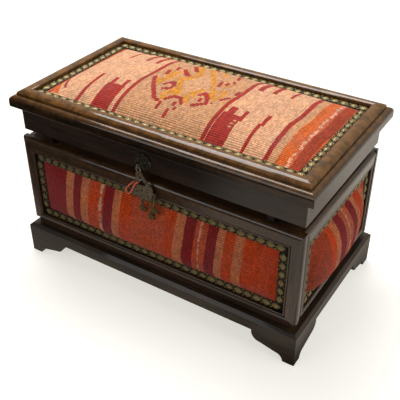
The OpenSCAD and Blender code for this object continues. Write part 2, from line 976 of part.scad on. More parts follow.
// Loop of thread tied round the pendant's left arm: one tube swept along its route
module thread_loop() {
    // Points along, up and out: through the gap between the arms, behind the left arm, out
    // beside it, down in front of the plate's corner and back up
    front = plate_t / 2 + thread_d / 2 + thread_gap;
    back = -front - 0.2;
    route = [[-3.3, -16.6, 0.9], [-3.4, -16.8, -0.5], [-3.9, -17, back + 0.2],
             [-5.2, -17.1, back], [-8.6, -17.4, back], [-9.6, -17.5, back + 0.2],
             [-10.2, -17.6, -0.6], [-10.3, -17.8, 0.5], [-11, -18.3, front],
             [-13.2, -20, front], [-16, -22.2, front], [-18.4, -24.6, front],
             [-19.8, -27.2, front], [-19.9, -29.4, front], [-18.6, -30.8, front],
             [-16.6, -30.2, front], [-14.4, -28.2, front], [-12.2, -25.6, front],
             [-10, -22.8, front], [-7.8, -20.2, front], [-5.8, -18, front],
             [-4.6, -16.9, front + 0.1]];
    sides = 8;
    across = [0, 1, 1];                 // no part of the route runs along this
    count = len(route);
    ways = [for (i = [0:count - 1]) let (d = route[(i + 1) % count] - route[(i + count - 1) % count])
        d / norm(d)];
    outs = [for (w = ways) let (c = cross(w, across)) c / norm(c)];
    rings = [for (i = [0:count - 1], k = [0:sides - 1]) let (a = 360 * k / sides)
        route[i] + thread_d / 2 * (cos(a) * outs[i] + sin(a) * cross(ways[i], outs[i]))];
    color("orangered")
        hang()
            polyhedron(
                points = rings,
                faces = [for (i = [0:count - 1], k = [0:sides - 1], half = [0, 1])
                    let (j = (i + 1) % count, m = (k + 1) % sides)
                    half == 0 ? [i * sides + k, j * sides + k, j * sides + m]
                              : [i * sides + k, j * sides + m, i * sides + m]]);
}

plinth_front();
plinth_back();
plinth_left();
plinth_right();
glue_blocks();
floor_board();
front_wall();
back_wall();
left_wall();
right_wall();
front_lining();
back_lining();
left_lining();
right_lining();
front_frame();
back_frame();
left_frame();
right_frame();
front_pad();
back_pad();
left_pad();
right_pad();
front_strip();
back_strip();
left_strip();
right_strip();
bumpers();
rim_leaves();
hinge_pins();
rim_screws();
lid_leaves();
lid_screws();
apron_front();
apron_back();
apron_left();
apron_right();
lid_board();
moulding_front();
moulding_back();
moulding_left();
moulding_right();
lid_cushion();
lid_strip();
rosette();
eye();
pendant();
thread_loop();
link_left();
link_middle();
link_right();
coin_left();
coin_middle();
coin_right();
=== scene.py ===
"""Wooden box with padded kilim panels: its cloth, brass strip, hardware, finishes and studio."""

import functools
import itertools
import logging
import math
import random
from dataclasses import dataclass, field
from enum import Enum
from typing import Callable, Iterable, Optional, Sequence, Union

import bmesh
import bpy
from mathutils import Matrix, Vector

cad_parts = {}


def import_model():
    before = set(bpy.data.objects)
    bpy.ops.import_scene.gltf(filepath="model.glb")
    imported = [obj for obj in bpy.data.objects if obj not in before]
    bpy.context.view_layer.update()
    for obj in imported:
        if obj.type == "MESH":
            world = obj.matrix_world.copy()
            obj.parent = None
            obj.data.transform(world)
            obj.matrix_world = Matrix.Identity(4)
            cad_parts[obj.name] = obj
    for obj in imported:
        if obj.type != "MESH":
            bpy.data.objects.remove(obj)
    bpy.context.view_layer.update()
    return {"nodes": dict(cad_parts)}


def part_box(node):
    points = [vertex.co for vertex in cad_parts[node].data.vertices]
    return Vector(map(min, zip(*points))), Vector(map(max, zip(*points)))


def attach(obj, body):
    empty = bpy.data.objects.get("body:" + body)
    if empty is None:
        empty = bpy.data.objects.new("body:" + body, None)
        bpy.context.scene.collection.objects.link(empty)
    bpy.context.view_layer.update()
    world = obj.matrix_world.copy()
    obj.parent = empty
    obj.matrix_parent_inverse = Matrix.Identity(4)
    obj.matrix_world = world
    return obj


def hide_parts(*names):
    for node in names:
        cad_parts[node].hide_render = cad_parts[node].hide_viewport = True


log = logging.getLogger("kilim_box")
Socket = bpy.types.NodeSocket
Value = Union[float, int, Socket]
Colour = tuple[float, float, float]
Rows = list[list[bmesh.types.BMVert]]
MM = 0.001


def linear(red: int, green: int, blue: int) -> Colour:
    """Turn display values of 0 to 255 into the linear colour that Blender reads.

    Args:
        red, green, blue: The colour as a screen shows it.

    Returns:
        The same colour, linear, each part from 0 to 1.
    """
    def one(v: int) -> float:
        """Turn one display value into its linear part."""
        c = v / 255
        return c / 12.92 if c <= 0.04045 else ((c + 0.055) / 1.055) ** 2.4
    return (one(red), one(green), one(blue))


def blended(a: Colour, b: Colour, share: float) -> Colour:
    """Return the colour that lies the given share of the way from a to b."""
    return tuple(p + (q - p) * share for p, q in zip(a, b))


# ---------------------------------------------------------------- node trees


@dataclass
class Nodes:
    """Short forms for the nodes of one tree.

    Args:
        tree: The shader or geometry tree that the nodes go into.
    """

    tree: bpy.types.NodeTree

    def add(self, kind: str, **settings: object) -> bpy.types.Node:
        """Add a node.

        Args:
            kind: The node's type.
            settings: The node's properties.

        Returns:
            The node.
        """
        node = self.tree.nodes.new(kind)
        for name, value in settings.items():
            setattr(node, name, value)
        return node

    def feed(self, socket: Socket, value: object) -> None:
        """Link an input to another socket, or set its default to a constant.

        Args:
            socket: The input.
            value: A socket, a constant, or None to leave the input as it is.
        """
        if value is None:
            return
        if isinstance(value, bpy.types.NodeSocket):
            self.tree.links.new(value, socket)
        elif isinstance(value, (tuple, list, Vector)) and socket.type == "RGBA":
            socket.default_value = (*value[:3], 1.0)
        else:
            socket.default_value = value

    def result(self, kind: str, inputs: dict[Union[str, int], object], output: int = 0,
               **settings: object) -> Socket:
        """Add a node, feed its inputs and return one of its outputs.

        Args:
            kind: The node's type.
            inputs: Value of each input, by name or number.
            output: Number of the output.
            settings: The node's properties.

        Returns:
            The output.
        """
        node = self.add(kind, **settings)
        for key, value in inputs.items():
            self.feed(node.inputs[key], value)
        return node.outputs[output]

    def math(self, operation: str, a: Value, b: Optional[Value] = None,
             c: Optional[Value] = None, clamp: bool = False) -> Socket:
        """Return the result of a Math node on up to three values."""
        values = dict(enumerate((a, b, c)))
        return self.result("ShaderNodeMath", values, operation=operation, use_clamp=clamp)

    def plus(self, a: Value, b: Value) -> Socket:
        """Return a + b."""
        return self.math("ADD", a, b)

    def minus(self, a: Value, b: Value) -> Socket:
        """Return a - b."""
        return self.math("SUBTRACT", a, b)

    def times(self, a: Value, b: Value, clamp: bool = False) -> Socket:
        """Return a * b, kept from 0 to 1 if clamp is set."""
        return self.math("MULTIPLY", a, b, clamp=clamp)

    def fused(self, a: Value, b: Value, c: Value) -> Socket:
        """Return a * b + c."""
        return self.math("MULTIPLY_ADD", a, b, c)

    def power(self, a: Value, b: Value) -> Socket:
        """Return a to the power b."""
        return self.math("POWER", a, b)

    def unsigned(self, a: Value) -> Socket:
        """Return a without its sign."""
        return self.math("ABSOLUTE", a)

    def largest(self, values: Iterable[Value]) -> Value:
        """Return the largest of the values."""
        return functools.reduce(lambda a, b: self.math("MAXIMUM", a, b), values)

    def vector(self, operation: str, a: object, b: object) -> Socket:
        """Return the vector that a Vector Math node gives."""
        return self.result("ShaderNodeVectorMath", {0: a, 1: b}, operation=operation)

    def parts(self, vector: Socket) -> tuple[Socket, Socket, Socket]:
        """Separate a vector.

        Args:
            vector: The vector.

        Returns:
            Its X, Y and Z.
        """
        node = self.add("ShaderNodeSeparateXYZ")
        self.feed(node.inputs[0], vector)
        return node.outputs[0], node.outputs[1], node.outputs[2]

    def join(self, x: Value, y: Value, z: Value) -> Socket:
        """Return the vector of three values."""
        return self.result("ShaderNodeCombineXYZ", dict(enumerate((x, y, z))))

    def mix(self, share: Value, a: object, b: object) -> Socket:
        """Return colour a mixed with colour b by the given share."""
        return self.result("ShaderNodeMix", {0: share, 6: a, 7: b}, 2, data_type="RGBA")

    def noise(self, vector: Socket, scale: Value, detail: float = 2.0, roughness: float = 0.5) -> Socket:
        """Return the value of a Noise Texture."""
        inputs = {"Vector": vector, "Scale": scale, "Detail": detail, "Roughness": roughness}
        return self.result("ShaderNodeTexNoise", inputs, noise_dimensions="3D")

    def step(self, value: Value, low: float, high: float) -> Socket:
        """Return 0 below low, 1 above high and a smooth rise between them."""
        values = {0: value, 1: low, 2: high}
        return self.result("ShaderNodeMapRange", values, interpolation_type="SMOOTHSTEP")

    def ramp(self, value: Socket, stops: Sequence[tuple[float, Colour]]) -> Socket:
        """Return the colour of a ramp whose colours hold up to the next stop.

        Args:
            value: Where along the ramp, 0 to 1.
            stops: Place and colour of each stop, in order.

        Returns:
            The colour socket.
        """
        node = self.add("ShaderNodeValToRGB")
        node.color_ramp.interpolation = "CONSTANT"
        points = node.color_ramp.elements
        while len(points) < len(stops):
            points.new(1.0)
        for point, (place, colour) in zip(points, stops):
            point.position = place
            point.color = (*colour, 1.0)
        self.feed(node.inputs[0], value)
        return node.outputs[0]

    def bump(self, shader: bpy.types.Node, height: Value, depth: float, strength: float = 1.0) -> None:
        """Give a shader's surface relief.

        Args:
            shader: The shader.
            height: The relief's height, 0 to 1.
            depth: What a height of 1 stands for, in millimetres.
            strength: Strength of the bump.
        """
        node = self.add("ShaderNodeBump")
        node.inputs["Distance"].default_value = depth * MM
        node.inputs["Strength"].default_value = strength
        self.feed(node.inputs["Height"], height)
        self.feed(shader.inputs["Normal"], node.outputs[0])

    def group(self, tree: bpy.types.NodeTree, **inputs: object) -> bpy.types.Node:
        """Place a node group.

        Args:
            tree: The group.
            inputs: Value of each input, by its name with _ for a space.

        Returns:
            The group's node.
        """
        kind = "ShaderNodeGroup" if tree.bl_idname == "ShaderNodeTree" else "GeometryNodeGroup"
        node = self.add(kind)
        node.node_tree = tree
        for name, value in inputs.items():
            self.feed(node.inputs[name.replace("_", " ")], value)
        return node


@dataclass
class Effect:
    """A shader node group that several materials share, built the first time it is asked for.

    Args:
        name: Name of the group.
        inputs: Name and default of each input; a default of None makes a vector.
        outputs: Name of each output, a number.
        build: Fills the tree: gets its Nodes and inputs, and returns the outputs by name.
        tree: The group once it is built.
    """

    name: str
    inputs: dict[str, Optional[float]]
    outputs: Sequence[str]
    build: Callable[[Nodes, dict[str, Socket]], dict[str, Socket]]
    tree: Optional[bpy.types.NodeTree] = None

    def get(self) -> bpy.types.NodeTree:
        """Build the group if it isn't there yet.

        Returns:
            The group's tree.
        """
        if self.tree is None:
            tree = bpy.data.node_groups.new(self.name, "ShaderNodeTree")
            for name, default in self.inputs.items():
                kind = "NodeSocketVector" if default is None else "NodeSocketFloat"
                socket = tree.interface.new_socket(name, in_out="INPUT", socket_type=kind)
                if default is not None:
                    socket.default_value = default
            for name in self.outputs:
                tree.interface.new_socket(name, in_out="OUTPUT", socket_type="NodeSocketFloat")
            nodes = Nodes(tree)
            entry = nodes.add("NodeGroupInput")
            leave = nodes.add("NodeGroupOutput")
            made = self.build(nodes, {name: entry.outputs[name] for name in self.inputs})
            for name, socket in made.items():
                nodes.feed(leave.inputs[name], socket)
            self.tree = tree
        return self.tree


def build_grain(n: Nodes, s: dict[str, Socket]) -> dict[str, Socket]:
    """Wood grain along the vector's X: streaks, broad patches and short open pores.

    Args:
        n: Nodes of the group.
        s: The group's inputs by name.

    Returns:
        The group's outputs by name.
    """
    streak = n.noise(n.vector("MULTIPLY", s["Vector"], (0.06, 1.0, 1.0)), s["Scale"], 5, 0.62)
    fine = n.noise(n.vector("MULTIPLY", s["Vector"], (0.03, 1.0, 1.0)), n.times(s["Scale"], 4.5), 3)
    patch = n.noise(n.vector("MULTIPLY", s["Vector"], (0.4, 1.0, 1.0)), 28, 2)
    tone = n.plus(n.times(streak, 0.5), n.times(patch, 0.3))
    tone = n.plus(tone, n.times(fine, 0.2))
    tone = n.step(tone, 0.38, 0.62)
    pore = n.noise(n.vector("MULTIPLY", s["Vector"], (0.05, 1.0, 1.0)), 1500, 1)
    pore = n.step(pore, 0.62, 0.72)
    height = n.minus(n.times(fine, 0.5), n.times(pore, 0.6))
    return {"Tone": tone, "Pores": pore, "Height": height}


def build_wear(n: Nodes, s: dict[str, Socket]) -> dict[str, Socket]:
    """Rubbed patches and fine scuffs, strongest where Level is near 1.

    Args:
        n: Nodes of the group.
        s: The group's inputs by name.

    Returns:
        The group's outputs by name.
    """
    big = n.noise(s["Vector"], 60, 4, 0.6)
    small = n.noise(s["Vector"], 420, 3, 0.6)
    value = n.plus(n.times(big, 0.7), n.times(small, 0.3))
    value = n.plus(value, n.times(s["Level"], 0.45))
    rubbed = n.times(n.step(value, 0.62, 0.92), s["Amount"])
    scuff = n.noise(n.vector("MULTIPLY", s["Vector"], (1.0, 0.25, 1.0)), 900, 2)
    return {"Rubbed": rubbed, "Scuffs": n.step(scuff, 0.6, 0.75)}


def build_weave(n: Nodes, s: dict[str, Socket]) -> dict[str, Socket]:
    """Weft-faced cloth: ribs across the vector's Y and the small bumps of yarn along them.

    Args:
        n: Nodes of the group.
        s: The group's inputs by name.

    Returns:
        The group's outputs by name.
    """
    wobble = n.times(n.minus(n.noise(s["Vector"], 45, 2), 0.5), 0.0022)
    x, y, _ = n.parts(s["Vector"])
    row = n.math("DIVIDE", n.plus(y, wobble), s["Rib"])
    turn = n.times(row, math.pi)
    rib = n.unsigned(n.math("SINE", turn))
    odd = n.times(n.math("FLOORED_MODULO", n.math("FLOOR", row), 2.0), 0.5)
    across = n.plus(n.math("DIVIDE", x, s["Pick"]), odd)
    cell = n.join(n.math("FLOOR", across), n.math("FLOOR", row), 0.0)
    stitch = n.result("ShaderNodeTexWhiteNoise", {"Vector": cell}, noise_dimensions="3D")
    pick = n.fused(n.math("SINE", n.times(across, 2 * math.pi)), 0.5, 0.5)
    fuzz = n.noise(s["Vector"], 1400, 3, 0.7)
    soft = n.power(rib, 0.6)
    height = n.plus(n.times(soft, 0.72), n.times(n.times(pick, rib), 0.28))
    height = n.plus(height, n.times(fuzz, 0.14))
    # Painted shade: the grooves between ribs and between the bumps of yarn are darkened, and the fuzz
    # and each stitch vary at random.
    shade = n.fused(soft, 0.75, n.times(pick, 0.15))
    shade = n.fused(n.minus(fuzz, 0.5), 0.35, shade)
    shade = n.fused(n.minus(stitch, 0.5), 0.5, shade)
    return {"Height": height, "Shade": shade}


def build_fade(n: Nodes, s: dict[str, Socket]) -> dict[str, Socket]:
    """Uneven dye, each value about 0.5: slow changes, blotches, and streaks that run with the yarn.

    Args:
        n: Nodes of the group.
        s: The group's inputs by name.

    Returns:
        The group's outputs by name.
    """
    slow = n.noise(s["Vector"], 30, 2)
    blotch = n.noise(n.vector("MULTIPLY", s["Vector"], (1.0, 0.7, 1.0)), 190, 3, 0.65)
    streak = n.noise(n.vector("MULTIPLY", s["Vector"], (1.0, 0.12, 1.0)), 420, 3, 0.6)
    return {"Slow": slow, "Blotch": blotch, "Streak": streak}


def build_cells(n: Nodes, s: dict[str, Socket]) -> dict[str, Socket]:
    """Snap X and Y to whole picks and ribs, so woven figures get their stepped edges.

    Args:
        n: Nodes of the group.
        s: The group's inputs by name.

    Returns:
        The group's outputs by name.
    """
    x, y, _ = n.parts(s["Vector"])
    sway = n.times(n.minus(n.noise(n.join(0.0, y, 0.0), 22, 1), 0.5), 0.006)
    x = n.plus(x, sway)
    fine = n.times(n.minus(n.noise(s["Vector"], 260, 2), 0.5), 0.0012)
    x = n.plus(x, fine)
    y = n.times(n.plus(n.math("FLOOR", n.math("DIVIDE", y, s["Rib"])), 0.5), s["Rib"])
    return {"X": x, "Y": y}


def build_bar(n: Nodes, s: dict[str, Socket]) -> dict[str, Socket]:
    """Give 1 inside a rectangle about Middle, turned as Cosine and Sine say, and 0 outside it.

    Args:
        n: Nodes of the group.
        s: The group's inputs by name.

    Returns:
        The group's outputs by name.
    """
    across, up = n.minus(s["X"], s["Middle X"]), n.minus(s["Y"], s["Middle Y"])
    a = n.fused(across, s["Cosine"], n.times(up, s["Sine"]))
    b = n.minus(n.times(up, s["Cosine"]), n.times(across, s["Sine"]))
    in_length = n.math("COMPARE", a, 0.0, s["Half Length"])
    return {"Mask": n.times(in_length, n.math("COMPARE", b, 0.0, s["Half Width"]))}


def build_loops(n: Nodes, s: dict[str, Socket]) -> dict[str, Socket]:
    """A pale yarn that wanders about X = Middle and shows in uneven loops.

    Args:
        n: Nodes of the group.
        s: The group's inputs by name.

    Returns:
        The group's outputs by name.
    """
    x, y, _ = n.parts(s["Vector"])
    way = n.times(n.minus(n.noise(n.join(s["Middle"], y, 0.0), 120, 2), 0.5), s["Wander"])
    away = n.unsigned(n.minus(n.minus(x, s["Middle"]), way))
    width = n.times(n.step(n.noise(n.join(y, s["Middle"], 0.0), 210, 2), 0.35, 0.6), s["Half"])
    return {"Mask": n.math("LESS_THAN", away, width)}


GRAIN = Effect("grain", {"Vector": None, "Scale": 260.0}, ("Tone", "Pores", "Height"), build_grain)
WEAR = Effect("wear", {"Vector": None, "Level": 0.0, "Amount": 1.0}, ("Rubbed", "Scuffs"), build_wear)
WEAVE = Effect("weave", {"Vector": None, "Rib": 0.0024, "Pick": 0.0016}, ("Height", "Shade"),
               build_weave)
FADE = Effect("uneven_dye", {"Vector": None}, ("Slow", "Blotch", "Streak"), build_fade)
CELLS = Effect("woven_cells", {"Vector": None, "Rib": 0.0024}, ("X", "Y"), build_cells)
BAR = Effect(
    "bar",
    dict.fromkeys(
        ("X", "Y", "Middle X", "Middle Y", "Cosine", "Sine", "Half Length", "Half Width"), 0.0),
    ("Mask",), build_bar)
LOOPS = Effect("loops", {"Vector": None, "Middle": 0.0, "Wander": 0.003, "Half": 0.001}, ("Mask",),
               build_loops)


def new_material(name: str) -> tuple[bpy.types.Material, Nodes, bpy.types.Node]:
    """Make a material with a Principled BSDF.

    Args:
        name: Name of the material.

    Returns:
        The material, the short forms for its tree, and its shader.
    """
    material = bpy.data.materials.new(name)
    material.use_nodes = True
    nodes = Nodes(material.node_tree)
    return material, nodes, material.node_tree.nodes["Principled BSDF"]


# ---------------------------------------------------------------- finishes


class Run(Enum):
    """Which way the grain of a part runs."""

    LENGTH = "length"
    DEPTH = "depth"
    HEIGHT = "height"
    FRAME_LENGTH = "frame_length"
    FRAME_DEPTH = "frame_depth"


COAT_ROUGHNESS = 0.05
# Sizes of the frames, in metres: half the length over the stiles and the width of a stile, for the
# front and back and for the sides; and the height and width of the top and of the bottom rail.
LONG_FRAME, SHORT_FRAME = (0.1635, 0.014), (0.082, 0.008)
TOP_RAIL, BOTTOM_RAIL = (0.150, 0.016), (0.045, 0.0095)


def along_grain(n: Nodes, place: Socket, run: Run) -> Socket:
    """Turn a place so that its X runs along the grain.

    Args:
        n: Nodes of the material.
        place: The place in the frame.
        run: Which way the grain runs. A frame's rails and stiles meet in mitres.

    Returns:
        The turned place.
    """
    x, y, z = n.parts(place)
    plain = {Run.LENGTH: place, Run.DEPTH: n.join(y, x, z), Run.HEIGHT: n.join(z, x, y)}.get(run)
    if plain is not None:
        return plain
    front = run is Run.FRAME_LENGTH
    side, (reach, stile) = (x, LONG_FRAME) if front else (y, SHORT_FRAME)
    (top, top_width), (bottom, bottom_width) = TOP_RAIL, BOTTOM_RAIL
    in_side = n.minus(reach, n.unsigned(side))
    in_top = n.times(n.minus(top, z), stile / top_width)
    in_low = n.times(n.minus(z, bottom), stile / bottom_width)
    rail = n.math("LESS_THAN", n.math("MINIMUM", in_top, in_low), in_side)
    upright = n.join(z, n.plus(side, 0.31), n.plus(y if front else x, 0.17))
    flat = place if front else n.join(y, x, z)
    return n.result("ShaderNodeMix", {0: rail, 4: upright, 5: flat}, 1, data_type="VECTOR")


@dataclass(frozen=True)
class Wood:
    """A stained and varnished wood finish.

    Args:
        name: Name of the finish.
        dark, light: Colours of the darkest and lightest grain.
        worn_and_highlight: Colour where the stain is rubbed thin, and of the painted highlight.
        gloss: Roughness of the wood.
        specular: Strength of the wood's own shine.
        coat: Weight of the varnish.
        wear: How much of the surface is rubbed.
        highlight_band: Low and high edge in metres of a band of painted highlight and most wear, or
            None.
        relief: Depth of the grain in millimetres.
        mottle: How dark the patches of old stain are, 0 to 1.
    """

    name: str
    dark: Colour = linear(27, 16, 8)
    light: Colour = linear(78, 50, 23)
    worn_and_highlight: Colour = linear(130, 92, 45)
    gloss: float = 0.42
    specular: float = 0.25
    coat: float = 0.8
    wear: float = 0.5
    highlight_band: Optional[tuple[float, float]] = None
    relief: float = 0.05
    mottle: float = 0.3

    def material(self, run: Run) -> bpy.types.Material:
        """Make the material for parts whose grain runs the given way.

        Args:
            run: Which way the grain runs.

        Returns:
            The new material.
        """
        material, n, shader = new_material(f"{self.name}_{run.value}")
        place = n.add("ShaderNodeTexCoord").outputs["Object"]
        z = n.parts(place)[2]
        grain = n.group(GRAIN.get(), Vector=along_grain(n, place, run))
        # Painted highlight: a band near the top is painted lighter and warmer, and the rubbing is
        # strongest there too.
        level: Value = 0.0
        if self.highlight_band:
            level = n.step(z, *self.highlight_band)
        wear = n.group(WEAR.get(), Vector=place, Level=level, Amount=self.wear)
        colour = n.mix(grain.outputs["Tone"], self.dark, self.light)
        pores = n.times(grain.outputs["Pores"], 0.6)
        colour = n.mix(pores, colour, blended(self.dark, (0, 0, 0), 0.5))
        # Painted highlight on the top band, in the rubbed colour.
        if self.highlight_band:
            colour = n.mix(n.times(level, 0.4), colour, self.worn_and_highlight)
        colour = n.mix(n.times(wear.outputs["Rubbed"], 0.7), colour, self.worn_and_highlight)
        patches = n.step(n.noise(place, 120, 5, 0.65), 0.36, 0.66)
        colour = n.mix(n.times(patches, self.mottle), colour, blended(self.dark, (0, 0, 0), 0.3))
        n.feed(shader.inputs["Base Color"], colour)
        rough = n.fused(grain.outputs["Pores"], 0.15, self.gloss)
        rough = n.fused(wear.outputs["Scuffs"], 0.12, rough)
        rough = n.fused(wear.outputs["Rubbed"], 0.10, rough)
        n.feed(shader.inputs["Roughness"], rough)
        shader.inputs["Specular IOR Level"].default_value = self.specular
        shader.inputs["Coat Weight"].default_value = self.coat
        shader.inputs["Coat Roughness"].default_value = COAT_ROUGHNESS
        n.bump(shader, grain.outputs["Height"], self.relief, 0.7)
        return material


@dataclass(frozen=True)
class Metal:
    """A metal finish with spots of tarnish.

    Args:
        name: Name of the finish.
        bright, tarnish: Colours of the rubbed and the tarnished metal.
        rough: Roughness of the rubbed metal.
        cover: How much tarnish there is, 0 to 1.
        scale: Size of the spots of tarnish, as a noise scale.
        metallic: How metallic the rubbed metal is.
    """

    name: str
    bright: Colour
    tarnish: Colour
    rough: float = 0.38
    cover: float = 0.5
    scale: float = 500.0
    metallic: float = 0.9

    def material(self) -> bpy.types.Material:
        """Make the material.

        Returns:
            The new material.
        """
        material, n, shader = new_material(self.name)
        place = n.add("ShaderNodeTexCoord").outputs["Object"]
        spots = n.noise(place, self.scale, 5, 0.65)
        mask = n.step(spots, 0.75 - self.cover * 0.5, 0.95 - self.cover * 0.5)
        n.feed(shader.inputs["Base Color"], n.mix(mask, self.bright, self.tarnish))
        n.feed(shader.inputs["Metallic"], n.fused(mask, -0.35, self.metallic))
        n.feed(shader.inputs["Roughness"], n.fused(mask, 0.25, self.rough))
        n.bump(shader, spots, 0.12, 0.6)
        return material


@dataclass(frozen=True)
class PressedBrass:
    """Antique brass strip with cross-hatched bosses and dark hollows between them.

    Args:
        name: Name of the finish.
        crown, hollow: Colours on a boss's crown and in the hollows.
        hatch: Distance in millimetres between two lines of the cross-hatching.
    """

    name: str = "pressed_brass"
    crown: Colour = linear(166, 148, 98)
    hollow: Colour = linear(34, 29, 17)
    hatch: float = 1.25

    def material(self) -> bpy.types.Material:
        """Make the material, which reads the strip's own attributes boss_place and boss_rise.

        Returns:
            The new material.
        """
        material, n, shader = new_material(self.name)
        place = n.add("ShaderNodeTexCoord").outputs["Object"]
        local = n.add("ShaderNodeAttribute", attribute_name="boss_place").outputs["Vector"]
        rise = n.add("ShaderNodeAttribute", attribute_name="boss_rise").outputs["Fac"]
        x, y, _ = n.parts(local)
        pace = math.pi / (self.hatch * MM)
        lines = [n.unsigned(n.math("SINE", n.times(n.math(op, x, y), pace * 0.707)))
                 for op in ("ADD", "SUBTRACT")]
        hatch = n.math("MINIMUM", *lines)
        hatch = n.times(n.step(hatch, 0.0, 0.55), n.step(rise, 0.05, 0.3))
        spots = n.noise(place, 420, 4, 0.65)
        clean = n.times(n.step(rise, 0.02, 0.85), n.fused(hatch, 0.75, 0.25))
        clean = n.times(clean, n.fused(spots, 0.9, 0.5), clamp=True)
        n.feed(shader.inputs["Base Color"], n.mix(clean, self.hollow, self.crown))
        n.feed(shader.inputs["Metallic"], n.fused(clean, 0.3, 0.3))
        n.feed(shader.inputs["Roughness"], n.fused(clean, -0.3, 0.6))
        n.bump(shader, n.fused(spots, 0.3, hatch), 0.4, 0.9)
        return material


class Yarn(Enum):
    """Colours of the kilim's yarns."""

    SALMON = linear(226, 168, 127)
    TAN = linear(207, 150, 106)
    PINK = linear(216, 158, 113)
    CRIMSON = linear(168, 45, 34)
    GOLD = linear(211, 139, 42)
    ORANGE = linear(214, 100, 39)
    RED = linear(167, 60, 24)
    WINE = linear(154, 32, 33)
    MAROON = linear(148, 30, 32)
    SAND = linear(218, 125, 81)
    RUST = linear(218, 77, 33)
    BRICK = linear(208, 87, 50)
    CLAY = linear(182, 72, 40)
    FLECKED = linear(202, 98, 62)
    PALE = linear(238, 176, 140)


@dataclass(frozen=True)
class Stroke:
    """A stroke of one yarn in a woven figure, in millimetres from the cloth's middle.

    Args:
        start, end: Middles of its two ends.
        half: Half its thickness.
        yarn: Its yarn.
    """

    start: tuple[float, float]
    end: tuple[float, float]
    half: float
    yarn: Yarn

    def mask(self, n: Nodes, x: Socket, y: Socket) -> Socket:
        """Mask the stroke.

        Args:
            n: Nodes of the cloth's material.
            x, y: Place on the cloth.

        Returns:
            1 where the stroke is and 0 elsewhere.
        """
        (x0, y0), (x1, y1) = self.start, self.end
        length = math.hypot(x1 - x0, y1 - y0)
        return n.group(
            BAR.get(), X=x, Y=y, Middle_X=(x0 + x1) / 2 * MM, Middle_Y=(y0 + y1) / 2 * MM,
            Cosine=(x1 - x0) / length, Sine=(y1 - y0) / length,
            Half_Length=(length + self.half) / 2 * MM, Half_Width=self.half * MM).outputs["Mask"]


def strokes(yarn: Yarn, *rows: tuple[float, float, float, float, float]) -> tuple[Stroke, ...]:
    """Return strokes of one yarn, each from the X and Y of its two ends and half its thickness."""
    return tuple(Stroke((x0, y0), (x1, y1), half, yarn) for x0, y0, x1, y1, half in rows)


def blocks(yarn: Yarn, *rows: tuple[float, float, float, float]) -> tuple[Stroke, ...]:
    """Return upright strokes that fill rectangles, each from its west, east, south and north edge."""
    return tuple(Stroke(((west + east) / 2, south), ((west + east) / 2, north), (east - west) / 2, yarn)
                 for west, east, south, north in rows)


@dataclass(frozen=True)
class Loops:
    """A pale yarn laid along a stripe, showing in loops.

    Args:
        middle: Where it lies along the cloth, in millimetres.
        wander: How far it strays to both sides together, in millimetres.
        half: Half its greatest thickness in millimetres.
    """

    middle: float
    wander: float
    half: float


RAMP_MARGIN = 60                # from the last stripe's start to the end of the ramp, in millimetres


@dataclass(frozen=True)
class Kilim:
    """A piece of weft-faced woven cloth with stripes and figures.

    Args:
        name: Name of the cloth.
        stripes: Where each stripe starts along the cloth, in millimetres, and its yarn, in order.
        figures: Strokes of the woven figures, later ones over earlier ones.
        rib: Distance between two ribs in millimetres.
        loops: Pale yarns laid along the stripes.
    """

    name: str
    stripes: Sequence[tuple[float, Yarn]]
    figures: Sequence[Stroke] = ()
    rib: float = 2.4
    loops: Sequence[Loops] = ()

    def material(self) -> bpy.types.Material:
        """Make the material, which reads the pad's own map cloth, in metres.

        Returns:
            The new material.
        """
        material, n, shader = new_material(self.name)
        uv = n.add("ShaderNodeUVMap", uv_map="cloth").outputs[0]
        cells = n.group(CELLS.get(), Vector=uv, Rib=self.rib * MM)
        x, y = cells.outputs["X"], cells.outputs["Y"]
        first, last = self.stripes[0][0], self.stripes[-1][0] + RAMP_MARGIN
        span = last - first
        share = n.math("DIVIDE", n.minus(x, first * MM), span * MM)
        colour = n.ramp(share, [((start - first) / span, yarn.value) for start, yarn in self.stripes])
        for yarn, figures in itertools.groupby(self.figures, key=lambda figure: figure.yarn):
            drawn = n.largest(figure.mask(n, x, y) for figure in figures)
            colour = n.mix(drawn, colour, yarn.value)
        for loop in self.loops:
            mask = n.group(LOOPS.get(), Vector=uv, Middle=loop.middle * MM, Wander=loop.wander * MM,
                           Half=loop.half * MM).outputs["Mask"]
            colour = n.mix(n.times(mask, 0.8), colour, Yarn.PALE.value)
        fade = n.group(FADE.get(), Vector=uv)
        weave = n.group(WEAVE.get(), Vector=uv, Rib=self.rib * MM)
        dye = n.fused(fade.outputs["Streak"], 0.7, n.times(fade.outputs["Slow"], 0.3))
        dye = n.fused(fade.outputs["Blotch"], 0.6, dye)
        # Painted shade of the rib grooves and yarn bumps, times the uneven dye, sets the cloth's
        # brightness.
        light = n.times(n.fused(weave.outputs["Shade"], 0.72, 0.36), n.plus(dye, 0.2))
        tint = n.add("ShaderNodeHueSaturation")
        n.feed(tint.inputs["Color"], colour)
        n.feed(tint.inputs["Value"], light)
        n.feed(tint.inputs["Saturation"], n.fused(fade.outputs["Slow"], 0.16, 0.92))
        n.feed(shader.inputs["Base Color"], tint.outputs[0])
        shader.inputs["Roughness"].default_value = 0.92
        shader.inputs["Specular IOR Level"].default_value = 0.2
        shader.inputs["Sheen Weight"].default_value = 0.12
        shader.inputs["Sheen Roughness"].default_value = 0.5
        n.bump(shader, weave.outputs["Height"], 0.6, 0.9)
        return material


